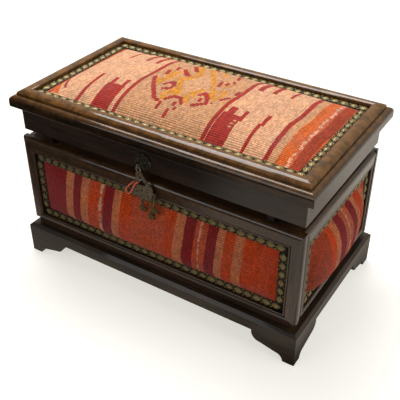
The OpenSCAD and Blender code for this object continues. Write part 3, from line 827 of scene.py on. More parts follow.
def thread_material() -> bpy.types.Material:
    """Make the plied thread's material, which reads the piece's own map thread.

    Returns:
        The new material.
    """
    material, n, shader = new_material("orange_thread")
    uv = n.add("ShaderNodeUVMap", uv_map="thread").outputs[0]
    x, y, _ = n.parts(uv)
    ply = n.math("SINE", n.times(n.plus(n.times(y, 2.0), n.math("DIVIDE", x, 0.0021)),
                                2 * math.pi))
    ply = n.fused(ply, 0.5, 0.5)
    fuzz = n.noise(n.vector("MULTIPLY", uv, (900.0, 6.0, 1.0)), 1.0, 3)
    # Painted shade: the thread is deeper orange in the grooves of its twist and paler on the plies'
    # crests, where the bump is high.
    n.feed(shader.inputs["Base Color"], n.mix(n.fused(fuzz, 0.3, n.times(ply, 0.6)),
                                              linear(232, 62, 30), linear(255, 138, 92)))
    shader.inputs["Roughness"].default_value = 0.7
    shader.inputs["Sheen Weight"].default_value = 0.2
    n.bump(shader, ply, 0.2)
    return material


# ---------------------------------------------------------------- where a panel stands


@dataclass(frozen=True)
class Panel:
    """A flat side of the box that carries a pad and its strip.

    Args:
        name: front, back, left, right or lid.
        along, up, out: Directions along, up and out of the panel.
    """

    name: str
    along: Vector
    up: Vector
    out: Vector

    def extent(self, node: str) -> tuple[Vector, Vector]:
        """Measure a CAD node on the panel's own axes.

        Args:
            node: The node's name.

        Returns:
            Its lowest and its highest corner.
        """
        low, high = (Vector(p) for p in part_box(node))
        turn = Matrix((self.along, self.up, self.out))
        a, b = turn @ low, turn @ high
        return (Vector(map(min, a, b)), Vector(map(max, a, b)))

    def placement(self, origin: Vector) -> Matrix:
        """Return the matrix that takes the panel's own axes, centred on origin, to the frame."""
        turn = Matrix((self.along, self.up, self.out)).transposed().to_4x4()
        return Matrix.Translation(turn @ origin) @ turn


PANELS = {
    "front": Panel("front", Vector((1, 0, 0)), Vector((0, 0, 1)), Vector((0, -1, 0))),
    "back": Panel("back", Vector((-1, 0, 0)), Vector((0, 0, 1)), Vector((0, 1, 0))),
    "left": Panel("left", Vector((0, -1, 0)), Vector((0, 0, 1)), Vector((-1, 0, 0))),
    "right": Panel("right", Vector((0, 1, 0)), Vector((0, 0, 1)), Vector((1, 0, 0))),
    "lid": Panel("lid", Vector((1, 0, 0)), Vector((0, 1, 0)), Vector((0, 0, 1))),
}


def piece_from(mesh: bpy.types.Mesh, name: str, material: bpy.types.Material,
               smooth: bool = True) -> bpy.types.Object:
    """Put a mesh into the scene as a piece at the origin.

    Args:
        mesh: The mesh, already in its place.
        name: Name of the piece.
        material: Its material.
        smooth: Whether its faces are shaded smooth.

    Returns:
        The object.
    """
    if not mesh.materials:
        mesh.materials.append(material)
    if smooth:
        mesh.shade_smooth()
    piece = bpy.data.objects.new(name, mesh)
    bpy.context.scene.collection.objects.link(piece)
    return piece


# ---------------------------------------------------------------- pads


LUMPS = 26                      # slow lumps in a pad
LUMP_RADIUS = (0.014, 0.03)     # in metres
LUMP_HEIGHT = 0.0007
START_SHARE = 0.97              # of the CAD pad's height, before the swell
FLANK = 0.7                     # power of a pad's rise; less gives steeper flanks
PUCKER_HEIGHT = 0.0005          # puckers beside the strip, in metres
PUCKER_PACE = 0.021
PUCKER_REACH = 0.008
SWELL_FRAMES = 20               # frames that a pad is simulated for
SWELL_SETTINGS = {
    "vertex_group_mass": "held", "quality": 5, "mass": 0.2, "tension_stiffness": 20,
    "compression_stiffness": 20, "shear_stiffness": 8, "bending_stiffness": 0.3,
    "use_pressure": True, "uniform_pressure_force": 4}


@dataclass
class Pad:
    """A stuffed pad under stretched kilim, held down all round by brass strip.

    Args:
        panel: Where it stands.
        node: CAD node that it replaces.
        body: Body that it rides on.
        cloth: Its kilim.
        cell: Size of its grid in millimetres before the last subdivision.
        strip: Width of the strip that holds it, in millimetres.
        edge: Height of its held edge in millimetres.
        sag: How far its crown lies below its middle, as a share of its half height.
        flat: How flat its crown is and how steep its flanks are.
        fill: How tightly it is stuffed, 0 to 1; not used.
        swell_cap: How far the pressure may move a point, in millimetres.
        seed: Seed of its small lumps.
        low, high: The pad's lowest and highest corners on the panel's own axes, read from the frame.
    """

    panel: Panel
    node: str
    body: str
    cloth: Kilim
    cell: float = 4.0
    strip: float = 9.0
    edge: float = 4.6
    sag: float = 0.3
    flat: float = 3.4
    fill: float = 0.8
    swell_cap: float = 3.0
    seed: int = 1
    low: Vector = field(init=False)
    high: Vector = field(init=False)

    def __post_init__(self) -> None:
        """Read the pad's box from the frame."""
        self.low, self.high = self.panel.extent(self.node)

    def height(self, x: float, y: float, half_x: float, half_y: float, crown: float) -> float:
        """Return the pad's height over its seat.

        Args:
            x, y: Place from the middle of the pad.
            half_x, half_y: Half the size of the part inside the strip.
            crown: Greatest height.

        Returns:
            The height in metres.
        """
        def swell(u: float) -> float:
            """Return the rise, 0 to 1, at a share of the way from the middle to the edge."""
            u = min(1.0, abs(u))
            return (1 - u ** self.flat) ** FLANK
        low = y / half_y
        rise = swell(x / half_x) * swell(low + self.sag * (1 - low * low))
        return self.edge * MM + (crown - self.edge * MM) * rise

    def lines(self, span: float) -> list[float]:
        """Place the lines of the pad's grid: one at each side of the strip and the rest inside.

        Args:
            span: Half the size of the pad in metres.

        Returns:
            The lines' places, from -span to span.
        """
        reach = span - self.strip * MM
        middle = span - 0.5 * self.strip * MM
        count = max(6, round(2 * reach / (self.cell * MM)))
        core = [(-1 + 2 * i / count) * reach for i in range(count + 1)]
        return [-span, -middle, *core, middle, span]

    def mesh(self) -> tuple[bpy.types.Mesh, list[int]]:
        """Make the closed pad and its cloth map.

        Returns:
            The mesh, on the panel's own axes about the middle of its seat, and the indices of the
            points that don't move.
        """
        size = self.high - self.low
        half = Vector((size.x / 2, size.y / 2))
        inner = half - Vector((self.strip * MM, self.strip * MM))
        crown = size.z * START_SHARE
        dice = random.Random(self.seed)
        lumps = [(dice.uniform(-1, 1) * inner.x, dice.uniform(-1, 1) * inner.y,
                  dice.uniform(*LUMP_RADIUS), dice.uniform(-1, 1) * LUMP_HEIGHT) for _ in range(LUMPS)]
        xs, ys = self.lines(half.x), self.lines(half.y)
        made = bmesh.new()
        top, base, fixed = [], [], []
        for y in ys:
            row, under = [], []
            for x in xs:
                free = abs(x) < inner.x - 1e-6 and abs(y) < inner.y - 1e-6
                z = self.height(x, y, inner.x, inner.y, crown)
                if free:
                    z += sum(a * math.exp(-((x - u) ** 2 + (y - v) ** 2) / (r * r))
                             for u, v, r, a in lumps)
                    inset = min(inner.x - abs(x), inner.y - abs(y))
                    wave = x * 2 * math.pi / PUCKER_PACE + 1.3 * math.sin(y * 90)
                    pucker = math.sin(wave) * math.sin(y * 300 + x * 40)
                    z += PUCKER_HEIGHT * pucker * math.exp(-inset / PUCKER_REACH)
                row.append(made.verts.new((x, y, z)))
                under.append(made.verts.new((x, y, 0.0)))
                if not free:
                    fixed.append(row[-1])
                fixed.append(under[-1])
            top.append(row)
            base.append(under)
        self.close(made, top, base, self.arcs(top, xs, ys))
        made.verts.index_update()
        held = [v.index for v in fixed]
        mesh = bpy.data.meshes.new(self.node)
        made.to_mesh(mesh)
        made.free()
        return mesh, held

    @staticmethod
    def close(made: bmesh.types.BMesh, top: Rows, base: Rows, arc: list[list[Vector]]) -> None:
        """Make the pad's faces: the mapped cloth on top, the seat and the four edges.

        Args:
            made: The mesh that holds the points.
            top, base: Rows of the points of the cloth and of the seat.
            arc: The cloth's own coordinates of each point.
        """
        cloth = made.loops.layers.uv.new("cloth")
        last_i, last_j = len(top[0]) - 1, len(top) - 1
        for j in range(last_j):
            for i in range(last_i):
                face = made.faces.new((top[j][i], top[j][i + 1], top[j + 1][i + 1], top[j + 1][i]))
                corners = ((i, j), (i + 1, j), (i + 1, j + 1), (i, j + 1))
                for loop, (p, q) in zip(face.loops, corners):
                    loop[cloth].uv = arc[q][p]
                made.faces.new((base[j][i], base[j + 1][i], base[j + 1][i + 1], base[j][i + 1]))
        for i in range(last_i):
            made.faces.new((base[0][i], base[0][i + 1], top[0][i + 1], top[0][i]))
            made.faces.new((top[last_j][i], top[last_j][i + 1], base[last_j][i + 1], base[last_j][i]))
        for j in range(last_j):
            made.faces.new((top[j][0], top[j + 1][0], base[j + 1][0], base[j][0]))
            made.faces.new((base[j][last_i], base[j + 1][last_i], top[j + 1][last_i], top[j][last_i]))

    @staticmethod
    def arcs(top: Rows, xs: list[float], ys: list[float]) -> list[list[Vector]]:
        """Measure the cloth along its surface, so its ribs keep their distance on a slope.

        Args:
            top: Rows of the pad's upper points.
            xs, ys: Places of the grid's lines.

        Returns:
            The cloth's own coordinates of each point, in metres from its middle.
        """
        rows = len(ys)
        columns = len(xs)
        mid_row, mid_column = top[rows // 2], [row[columns // 2] for row in top]

        def walk(points: list[bmesh.types.BMVert], places: list[float]) -> list[float]:
            """Measure a row of points along the surface.

            Args:
                points: The points.
                places: Their places on the flat grid.

            Returns:
                How far each lies from the middle.
            """
            total = [0.0]
            for a, b in zip(points, points[1:]):
                total.append(total[-1] + (b.co - a.co).length)
            middle = total[len(total) // 2] - places[len(places) // 2]
            return [t - middle for t in total]

        u, v = walk(mid_row, xs), walk(mid_column, ys)
        return [[Vector((u[i], v[j])) for i in range(columns)] for j in range(rows)]

    def inflate(self, piece: bpy.types.Object, held: list[int]) -> None:
        """Blow the pad up with a cloth simulation and keep the result in its mesh.

        Args:
            piece: The pad, on its panel's own axes.
            held: Indices of the points that don't move.
        """
        group = piece.vertex_groups.new(name="held")
        group.add(held, 1.0, "REPLACE")
        before = [v.co.copy() for v in piece.data.vertices]
        soft = piece.modifiers.new("cloth", "CLOTH")
        for setting, value in SWELL_SETTINGS.items():
            setattr(soft.settings, setting, value)
        soft.settings.effector_weights.gravity = 0
        soft.collision_settings.use_collision = False
        soft.point_cache.frame_start = 1
        soft.point_cache.frame_end = SWELL_FRAMES
        scene = bpy.context.scene
        for frame_number in range(1, SWELL_FRAMES + 1):
            scene.frame_set(frame_number)
        graph = bpy.context.evaluated_depsgraph_get()
        moved = [v.co.copy() for v in piece.evaluated_get(graph).data.vertices]
        piece.modifiers.remove(soft)
        piece.vertex_groups.remove(group)
        scene.frame_set(1)
        for vertex, start, end in zip(piece.data.vertices, before, moved):
            step = end - start
            if step.length > self.swell_cap * MM:
                step *= self.swell_cap * MM / step.length
            vertex.co = start + step
        most = max((b - a).length for a, b in zip(before, moved))
        log.info("%s swelled by up to %.1f mm", piece.name, most / MM)

    def build(self) -> bpy.types.Object:
        """Returns:
            The piece.
        """
        mesh, held = self.mesh()
        piece = piece_from(mesh, f"{self.panel.name}_kilim", self.cloth.material())
        self.inflate(piece, held)
        middle = (self.low + self.high) / 2
        piece.data.transform(self.panel.placement(Vector((middle.x, middle.y, self.low.z))))
        smoother = piece.modifiers.new("smooth", "SUBSURF")
        smoother.levels = smoother.render_levels = 1
        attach(piece, self.body)
        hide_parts(self.node)
        return piece


# ---------------------------------------------------------------- brass strip


FILLER_SIZE = (0.3, 0.55)       # a filler's size and height, as shares of a boss's
RIBBON_SHARE = 0.96             # of the strip's width
END_ROOM = 1.7                  # half bosses kept free at the ends of a length
FILLER_EDGE = 0.36              # of the strip's width, from its middle to a filler
BOSS_TURN = (0.05, 0.05, 0.2)   # most turn of a boss about each axis, in radians
BOSS_SCALE = (0.92, 1.06)


@dataclass
class BossStrip:
    """Pressed brass strip round a pad: a thin ribbon with bosses and small fillers between them.

    Args:
        panel: Where it stands.
        node: CAD node that it replaces.
        body: Body that it rides on.
        width: Width of the strip in millimetres.
        base: Thickness of the ribbon in millimetres.
        pitch: Distance between two bosses in millimetres.
        boss: Half length, half width and height of a boss in millimetres.
        seed: Seed of the bosses' small turns.
    """

    panel: Panel
    node: str
    body: str
    width: float = 9.0
    base: float = 0.8
    pitch: float = 10.1
    boss: tuple[float, float, float] = (5.9, 4.75, 1.9)
    seed: int = 3

    @staticmethod
    def dome(n: Nodes, sides: int, rings: int, half_x: Socket, half_y: Socket, height: Socket,
             power: float, inner: float) -> Socket:
        """Make a closed low dome with a rounded or pointed outline.

        Args:
            n: Nodes of the tree.
            sides, rings: Faces round the dome and from its rim to its crown.
            half_x, half_y, height: Sizes of the dome.
            power: 2 for an oval outline, less for a pointed one.
            inner: Rise of the dome's flank, larger for a flatter crown.

        Returns:
            The dome's geometry, with the attributes boss_place and boss_rise.
        """
        place = n.result("GeometryNodeInputPosition", {})
        grid = n.result("GeometryNodeMeshGrid",
                        {"Size X": 1.0, "Size Y": 1.0, "Vertices X": sides + 1, "Vertices Y": rings + 1})
        gx, gy, z = n.parts(place)
        angle = n.times(n.plus(gx, 0.5), 2 * math.pi)
        share = n.plus(gy, 0.5)
        cosine, sine = n.math("COSINE", angle), n.math("SINE", angle)
        reach = n.plus(n.power(n.unsigned(cosine), power), n.power(n.unsigned(sine), power))
        reach = n.times(share, n.power(reach, -1 / power))
        x = n.times(n.times(reach, cosine), half_x)
        y = n.times(n.times(reach, sine), half_y)
        rise = n.minus(1.0, n.power(share, inner))
        spot = n.join(x, y, n.times(rise, height))
        shape = n.result("GeometryNodeSetPosition", {"Geometry": grid, "Position": spot})
        shape = n.result("GeometryNodeMergeByDistance", {"Geometry": shape, "Distance": 1e-6})
        shape = n.result("GeometryNodeFlipFaces", {0: shape})
        for name, kind, value in (("boss_place", "FLOAT_VECTOR", place),
                                  ("boss_rise", "FLOAT", n.math("DIVIDE", z, height))):
            inputs = {"Geometry": shape, "Name": name, "Value": value}
            shape = n.result("GeometryNodeStoreNamedAttribute", inputs, data_type=kind, domain="POINT")
        return shape

    @staticmethod
    def sides(n: Nodes, entry: dict[str, Socket], turned: bool, boss: Socket,
              filler: Socket) -> list[Socket]:
        """Make two lengths of strip that lie opposite each other.

        Args:
            n: Nodes of the tree.
            entry: The tree's inputs by name.
            turned: Whether the two run along Y, between the other two.
            boss, filler: The domes.

        Returns:
            The rows of domes and the ribbons.
        """
        def lay(along: Value, across: Value, up: Value) -> Socket:
            """Return a vector from its parts along, across and up from the strip."""
            return n.join(across, along, up) if turned else n.join(along, across, up)

        pitch, strip, thick = entry["Pitch"], entry["Strip"], entry["Base"]
        run, far = entry["Length"], entry["Width"]
        if turned:
            run, far = n.minus(far, n.times(strip, 2.0)), run
        room = n.minus(run, n.times(entry["Boss Length"], END_ROOM))
        count = n.plus(n.math("FLOOR", n.math("DIVIDE", room, pitch)), 1.0)
        quarter = math.pi / 2 if turned else 0.0
        low_turn = [-v for v in BOSS_TURN]
        made = []
        for sign in (-1, 1):
            offset = n.times(n.minus(n.times(far, 0.5), n.times(strip, 0.5)), sign)
            for shape, shift, edge in (
                    (boss, 0.0, 0.0), (filler, 0.5, FILLER_EDGE), (filler, 0.5, -FILLER_EDGE)):
                number = n.minus(count, 2 * shift)
                start = n.times(n.minus(number, 1.0), n.times(pitch, -0.5))
                line = n.result("GeometryNodeMeshLine", {
                    "Count": number, "Start Location": lay(start, n.fused(strip, edge, offset), thick),
                    "Offset": lay(pitch, 0.0, 0.0)}, mode="OFFSET")
                jitter = n.result("FunctionNodeRandomValue", {
                    0: low_turn, 1: BOSS_TURN, "Seed": entry["Seed"]}, data_type="FLOAT_VECTOR")
                scale = n.result("FunctionNodeRandomValue", {
                    2: BOSS_SCALE[0], 3: BOSS_SCALE[1], "Seed": entry["Seed"]}, 1, data_type="FLOAT")
                made.append(n.result("GeometryNodeInstanceOnPoints", {
                    "Points": line, "Instance": shape, "Scale": scale,
                    "Rotation": n.vector("ADD", jitter, (0.0, 0.0, quarter))}))
            ribbon = n.result("GeometryNodeMeshCube", {
                "Size": lay(run, n.times(strip, RIBBON_SHARE), thick)})
            made.append(n.result("GeometryNodeTransform", {
                "Geometry": ribbon, "Translation": lay(0.0, offset, n.times(thick, 0.5))}))
        return made

    @staticmethod
    def tree() -> bpy.types.NodeTree:
        """Build the strip's geometry tree if it isn't there yet.

        Returns:
            The tree.
        """
        name = "boss_strip"
        if name in bpy.data.node_groups:
            return bpy.data.node_groups[name]
        tree = bpy.data.node_groups.new(name, "GeometryNodeTree")
        sizes = ("Length", "Width", "Strip", "Base", "Pitch", "Boss Length", "Boss Width", "Boss Height")
        for size in sizes:
            tree.interface.new_socket(size, in_out="INPUT", socket_type="NodeSocketFloat")
        tree.interface.new_socket("Seed", in_out="INPUT", socket_type="NodeSocketInt")
        tree.interface.new_socket("Finish", in_out="INPUT", socket_type="NodeSocketMaterial")
        tree.interface.new_socket("Geometry", in_out="OUTPUT", socket_type="NodeSocketGeometry")
        n = Nodes(tree)
        entry = {socket.name: socket for socket in n.add("NodeGroupInput").outputs}
        length, width, height = entry["Boss Length"], entry["Boss Width"], entry["Boss Height"]
        boss = BossStrip.dome(n, 16, 3, length, width, height, power=1.42, inner=2.0)
        small, low = FILLER_SIZE
        filler = BossStrip.dome(n, 6, 2, n.times(length, small), n.times(width, small),
                                n.times(height, low), power=1.2, inner=1.6)
        joined = n.add("GeometryNodeJoinGeometry")
        for turned in (False, True):
            for made in BossStrip.sides(n, entry, turned, boss, filler):
                tree.links.new(made, joined.inputs[0])
        real = n.result("GeometryNodeRealizeInstances", {0: joined.outputs[0]})
        finish = n.result("GeometryNodeSetMaterial", {"Geometry": real, "Material": entry["Finish"]})
        n.feed(n.add("NodeGroupOutput").inputs[0], finish)
        return tree

    def build(self, finish: bpy.types.Material) -> bpy.types.Object:
        """Build and place the strip.

        Args:
            finish: Its material.

        Returns:
            The piece.
        """
        low, high = self.panel.extent(self.node)
        size = high - low
        long, wide, high_boss = (side * MM for side in self.boss)
        values = {"Length": size.x, "Width": size.y, "Strip": self.width * MM, "Base": self.base * MM,
                  "Pitch": self.pitch * MM, "Boss Length": long, "Boss Width": wide,
                  "Boss Height": high_boss, "Seed": self.seed, "Finish": finish}
        mesh = run_geometry(self.tree(), values, f"{self.panel.name}_brass")
        middle = (low + high) / 2
        mesh.transform(self.panel.placement(Vector((middle.x, middle.y, low.z))))
        piece = piece_from(mesh, f"{self.panel.name}_brass", finish)
        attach(piece, self.body)
        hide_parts(self.node)
        return piece


def run_geometry(tree: bpy.types.NodeTree, values: dict[str, object], name: str) -> bpy.types.Mesh:
    """Run a geometry tree once and return what it makes as a plain mesh.

    Args:
        tree: The tree.
        values: The value of each named input.
        name: Name of the mesh.

    Returns:
        The mesh.
    """
    holder = bpy.data.objects.new("holder", bpy.data.meshes.new("holder"))
    bpy.context.scene.collection.objects.link(holder)
    modifier = holder.modifiers.new("tree", "NODES")
    modifier.node_group = tree
    for item in tree.interface.items_tree:
        if item.item_type == "SOCKET" and item.in_out == "INPUT" and item.name in values:
            modifier[item.identifier] = values[item.name]
    graph = bpy.context.evaluated_depsgraph_get()
    mesh = bpy.data.meshes.new_from_object(holder.evaluated_get(graph), depsgraph=graph)
    mesh.name = name
    holder.modifiers.remove(modifier)
    bpy.data.objects.remove(holder)
    return mesh


# ---------------------------------------------------------------- pendant


@dataclass
class ThreadLoop:
    """Loop of plied orange thread knotted round the pendant's left arm.

    Args:
        pivot: Where the pendant hangs, in metres.
        lean: Lean of the pendant in degrees.
        radius: Radius of the thread in millimetres.
        route: The loop's points from the pivot, in millimetres along, up and out of the pendant.
    """

    pivot: tuple[float, float, float] = (-0.0073, -0.0948, 0.16645)
    lean: float = 10.0
    radius: float = 0.8
    route: Sequence[tuple[float, float, float]] = (
        (-3.3, -16.6, 0.9), (-3.4, -16.8, -0.5), (-3.9, -17, -1.4), (-5.2, -17.1, -1.6),
        (-8.6, -17.4, -1.6), (-9.6, -17.5, -1.4), (-10.2, -17.6, -0.6), (-10.3, -17.8, 0.5),
        (-11, -18.3, 1.4), (-13.2, -20, 1.4), (-16, -22.2, 1.4), (-18.4, -24.6, 1.4),
        (-19.8, -27.2, 1.4), (-19.9, -29.4, 1.4), (-18.6, -30.8, 1.4), (-16.6, -30.2, 1.4),
        (-14.4, -28.2, 1.4), (-12.2, -25.6, 1.4), (-10, -22.8, 1.4), (-7.8, -20.2, 1.4),
        (-5.8, -18, 1.4), (-4.6, -16.9, 1.5))

    def build(self) -> bpy.types.Object:
        """Sweep the thread along its route as a closed tube.

        Returns:
            The piece.
        """
        points = [Vector(p) for p in self.route]
        count = len(points)
        smooth = []
        for i in range(count):
            p0, p1, p2, p3 = (points[(i + k) % count] for k in (-1, 0, 1, 2))
            for t in (0.0, 1 / 3, 2 / 3):
                smooth.append(0.5 * (2 * p1 + (p2 - p0) * t + (2 * p0 - 5 * p1 + 4 * p2 - p3) * t * t
                                     + (3 * p1 - p0 - 3 * p2 + p3) * t ** 3))
        made = bmesh.new()
        layer = made.loops.layers.uv.new("thread")
        sides, total = 12, len(smooth)
        never_along = Vector((0, 1, 1))
        rings, walked = [], [0.0]
        for i, p in enumerate(smooth):
            way = (smooth[(i + 1) % total] - smooth[i - 1]).normalized()
            first = way.cross(never_along).normalized()
            second = way.cross(first)
            turns = [2 * math.pi * k / sides for k in range(sides)]
            rings.append([made.verts.new(p + self.radius * (math.cos(a) * first + math.sin(a) * second))
                          for a in turns])
            walked.append(walked[-1] + (smooth[(i + 1) % total] - p).length)
        for i in range(total):
            for k in range(sides):
                j, m = (i + 1) % total, (k + 1) % sides
                face = made.faces.new((rings[i][k], rings[j][k], rings[j][m], rings[i][m]))
                spots = ((walked[i], k), (walked[i + 1], k), (walked[i + 1], k + 1), (walked[i], k + 1))
                for loop, (along, turn) in zip(face.loops, spots):
                    loop[layer].uv = (along * MM, turn / sides)
        bmesh.ops.recalc_face_normals(made, faces=made.faces)
        mesh = bpy.data.meshes.new("thread_loop")
        made.to_mesh(mesh)
        made.free()
        upright = Matrix(((1, 0, 0), (0, 0, -1), (0, 1, 0))).to_4x4()
        leaning = Matrix.Rotation(math.radians(self.lean), 4, "Z")
        mesh.transform(Matrix.Translation(self.pivot) @ upright @ leaning @ Matrix.Scale(MM, 4))
        piece = piece_from(mesh, "orange_thread", thread_material())
        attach(piece, "pendant")
        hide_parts("thread_loop")
        return piece


# ---------------------------------------------------------------- wood and metal parts


class Joinery:
    """Dresses the wooden CAD parts, each with its grain along its length."""

    plinth = Wood("plinth_wood", dark=linear(34, 25, 17), light=linear(66, 49, 33), coat=0.3, wear=0.5)
    frame_wood = Wood("frame_wood", light=linear(84, 54, 26), wear=0.7, mottle=0.45)
    apron = Wood("apron_wood", dark=linear(28, 16, 11), light=linear(60, 38, 25), gloss=0.5,
                 coat=0.7, wear=0.25)
    # The moulding's top band, 190 to 200.5 mm up, carries a painted highlight as well as wear.
    moulding = Wood("moulding_wood", dark=linear(17, 10, 4), light=linear(74, 44, 14),
                    worn_and_highlight=linear(122, 80, 30), coat=0.7, specular=0.12, wear=0.85, highlight_band=(0.190, 0.2005),
                    relief=0.1, mottle=0.62)
    inside = Wood("inside_wood", dark=linear(40, 25, 16), light=linear(78, 52, 34), gloss=0.6,
                  coat=0.0, wear=0.2)

    def nodes(self) -> dict[str, tuple[Wood, Run]]:
        """List the wooden nodes.

        Returns:
            The finish and the run of the grain of each node, by its name.
        """
        table: dict[str, tuple[Wood, Run]] = {
            "glue_blocks": (self.inside, Run.HEIGHT), "floor_board": (self.inside, Run.LENGTH),
            "lid_board": (self.inside, Run.LENGTH)}
        for side in ("front", "back", "left", "right"):
            run = Run.LENGTH if side in ("front", "back") else Run.DEPTH
            framed = Run.FRAME_LENGTH if run is Run.LENGTH else Run.FRAME_DEPTH
            table[f"plinth_{side}"] = (self.plinth, run)
            table[f"{side}_wall"] = (self.inside, run)
            table[f"{side}_lining"] = (self.inside, run)
            table[f"{side}_frame"] = (self.frame_wood, framed)
            table[f"apron_{side}"] = (self.apron, run)
            table[f"moulding_{side}"] = (self.moulding, run)
        return table

    def dress(self, nodes: dict[str, bpy.types.Object]) -> None:
        """Give each wooden node its material.

        Args:
            nodes: The frame's CAD objects by name.
        """
        made: dict[tuple[str, Run], bpy.types.Material] = {}
        for name, (finish, run) in self.nodes().items():
            key = (finish.name, run)
            if key not in made:
                made[key] = finish.material(run)
            assign(nodes[name], made[key])


class Hardware:
    """Dresses the metal CAD parts and the bumpers."""

    hinge_brass = Metal("hinge_brass", linear(168, 132, 66), linear(74, 54, 26), 0.32, 0.35)
    steel = Metal("screw_steel", linear(150, 146, 138), linear(70, 62, 52), 0.35, 0.3)
    old_brass = Metal("old_brass", linear(172, 152, 128), linear(44, 37, 31), 0.3, 0.62, 420, 0.7)
    dark_brass = Metal("dark_brass", linear(104, 96, 76), linear(24, 21, 18), 0.34, 0.8, 700, 0.7)
    coin_brass = Metal("coin_brass", linear(128, 122, 82), linear(54, 52, 36), 0.4, 0.5, 900)
    bumper = Wood("bumper", linear(20, 13, 9), linear(34, 22, 14), gloss=0.6, coat=0.0)
    parts = {
        hinge_brass: ("rim_leaves", "lid_leaves"),
        steel: ("hinge_pins", "rim_screws", "lid_screws"),
        dark_brass: ("rosette",),
        old_brass: ("eye", "pendant"),
        coin_brass: ("link_left", "link_middle", "link_right", "coin_left", "coin_middle", "coin_right")}

    def dress(self, nodes: dict[str, bpy.types.Object]) -> None:
        """Give each metal node its material.

        Args:
            nodes: The frame's CAD objects by name.
        """
        for finish, names in self.parts.items():
            material = finish.material()
            for name in names:
                assign(nodes[name], material)
        assign(nodes["bumpers"], self.bumper.material(Run.LENGTH))


def assign(node: bpy.types.Object, material: bpy.types.Material) -> None:
    """Put a material in every slot of a CAD node's object.

    Args:
        node: The object.
        material: The material.
    """
    if not node.material_slots:
        node.data.materials.append(material)
    for slot in node.material_slots:
        slot.material = material


# ---------------------------------------------------------------- cloths


MEDALLION = (
    *strokes(Yarn.PINK, (-11, 11, 1, -8, 11.21), (-4, 22, 7, 4, 8.26)),
    *strokes(Yarn.GOLD, (-25, 7, -9, -21, 2.86), (9, -4, 3, -17, 2.6), (-20, 8, -12, 26, 2.86),
             (13, 7, -1, 30, 2.47), (-1, 30, -13, 49, 2.86), (-15, 27, -27, 51, 4.16),
             (8, 38, 1, 51, 2.08), (-42, 17, -37, 2, 2.21), (-35, 20, -38, 4, 1.95),
             (-38, 4, -38, -13, 2.99), (-45, -4, -38, -16, 2.47), (-37, 1, -26, 7, 1.69),
             (-17, -19, -9, -24, 4.16), (-17, -19, -21, -31, 2.21), (-21, -30, -18, -38, 2.47),
             (-18, -37, -10, -28, 2.08), (0, -22, 7, -33, 2.47), (5, -15, 8, -22, 1.95),
             (12, 3, 22, -3, 2.08), (22, -3, 29, 5, 1.95), (30, 4, 31, -12, 1.95),
             (19, -6, 28, -16, 3.12), (21, 13, 26, 21, 1.69)),
    *strokes(Yarn.CRIMSON, (-50.5, -2, -40, -19, 2.24), (-40, -19, -29, -35, 2.48),
             (-29, -37, -20, -42, 2.12), (-16.5, -41, -16, -51, 1.77), (-15, -37, -9, -29, 2.12),
             (-9, -28.5, -1, -29, 2.36), (-1, -30, 4, -37, 1.89), (-2.5, -38, -2.5, -43, 1.89),
             (1.5, -44, 1.5, -48, 1.53), (-4, -48, -4, -58, 1.77), (-32, -14, -29, -8, 1.89),
             (-29, -8, -25, -4, 2.6), (-25, -5, -20.5, -12, 2.36), (-20.5, -12, -21, -18, 1.89),
             (-21, -18, -28, -21, 2.24), (12, -16, 14.5, -8, 1.89), (14.5, -9, 22, -17, 2.6),
             (22, -17, 25.5, -26, 2.12), (25.5, -26, 14, -35, 2.36), (17, -21, 17, -25, 1.77),
             (39, -5, 34, -14, 1.89), (30, -21, 30, -24, 1.18), (40, 10, 40, 4, 1.89),
             (-47, 19, -45, 9, 2.12), (-42.5, 30, -41.5, 23, 1.77), (-34, 28, -28, 20, 2.24),
             (-28, 20, -23, 16, 3.07), (-31, 45, -21.5, 30, 2.36), (13.5, 22, 16, 11, 1.89),
             (21, 24, 20.5, 17, 1.89), (24, 30, 25.5, 24, 1.53), (19, 52, 24, 37, 1.77)),
    *strokes(Yarn.RUST, (-9, 57, -6, 47, 1.89)),
    *strokes(Yarn.CRIMSON, (-12, 58, -2, 62, 2.12), (-26, 58, -33, 51, 1.77),
             (8, 60, 12, 54, 1.77)))

TOP_CLOTH = Kilim(
    "top_kilim",
    stripes=(
        (-175, Yarn.ORANGE), (-143.2, Yarn.CRIMSON), (-140, Yarn.SALMON),
        (-60.5, Yarn.CRIMSON), (-56.8, Yarn.TAN), (42, Yarn.CRIMSON), (45.6, Yarn.SALMON),
        (107, Yarn.CRIMSON), (110, Yarn.TAN), (118.5, Yarn.ORANGE), (129, Yarn.FLECKED),
        (133, Yarn.RED), (143, Yarn.ORANGE)),
    figures=(
        *blocks(Yarn.CRIMSON, (-106, -101.5, -90, -19), (-86, -64.5, -90, -40),
                (-84.5, -79.5, -41, -23.5), (-70, -65.5, -41, -23), (47, 66.5, -90, -34),
                (50, 57.5, -35, -19.5), (65, 69, -35, -17.5), (84, 87.5, -90, -30),
                (86, 90, -30, -12), (-110, -106.5, 33, 90), (-86.5, -81.5, 31, 90),
                (-72.5, -67.5, 27, 90), (-88, -66, 58, 90), (51.5, 57.5, 27, 90),
                (66.5, 71, 29, 90), (50, 71, 56, 90), (85, 88, 32, 90)),
        *blocks(Yarn.TAN, (61.5, 64.5, -37.5, -36), (60.5, 64, -42.4, -41), (61, 64, -47, -45.6)),
        *strokes(Yarn.ORANGE, (-146, -38, -134, -66, 3.4)),
        *strokes(Yarn.CRIMSON, (-141.5, -32, -129, -55, 1.6)),
        *MEDALLION),
    loops=(Loops(130.5, 5, 1.6),))

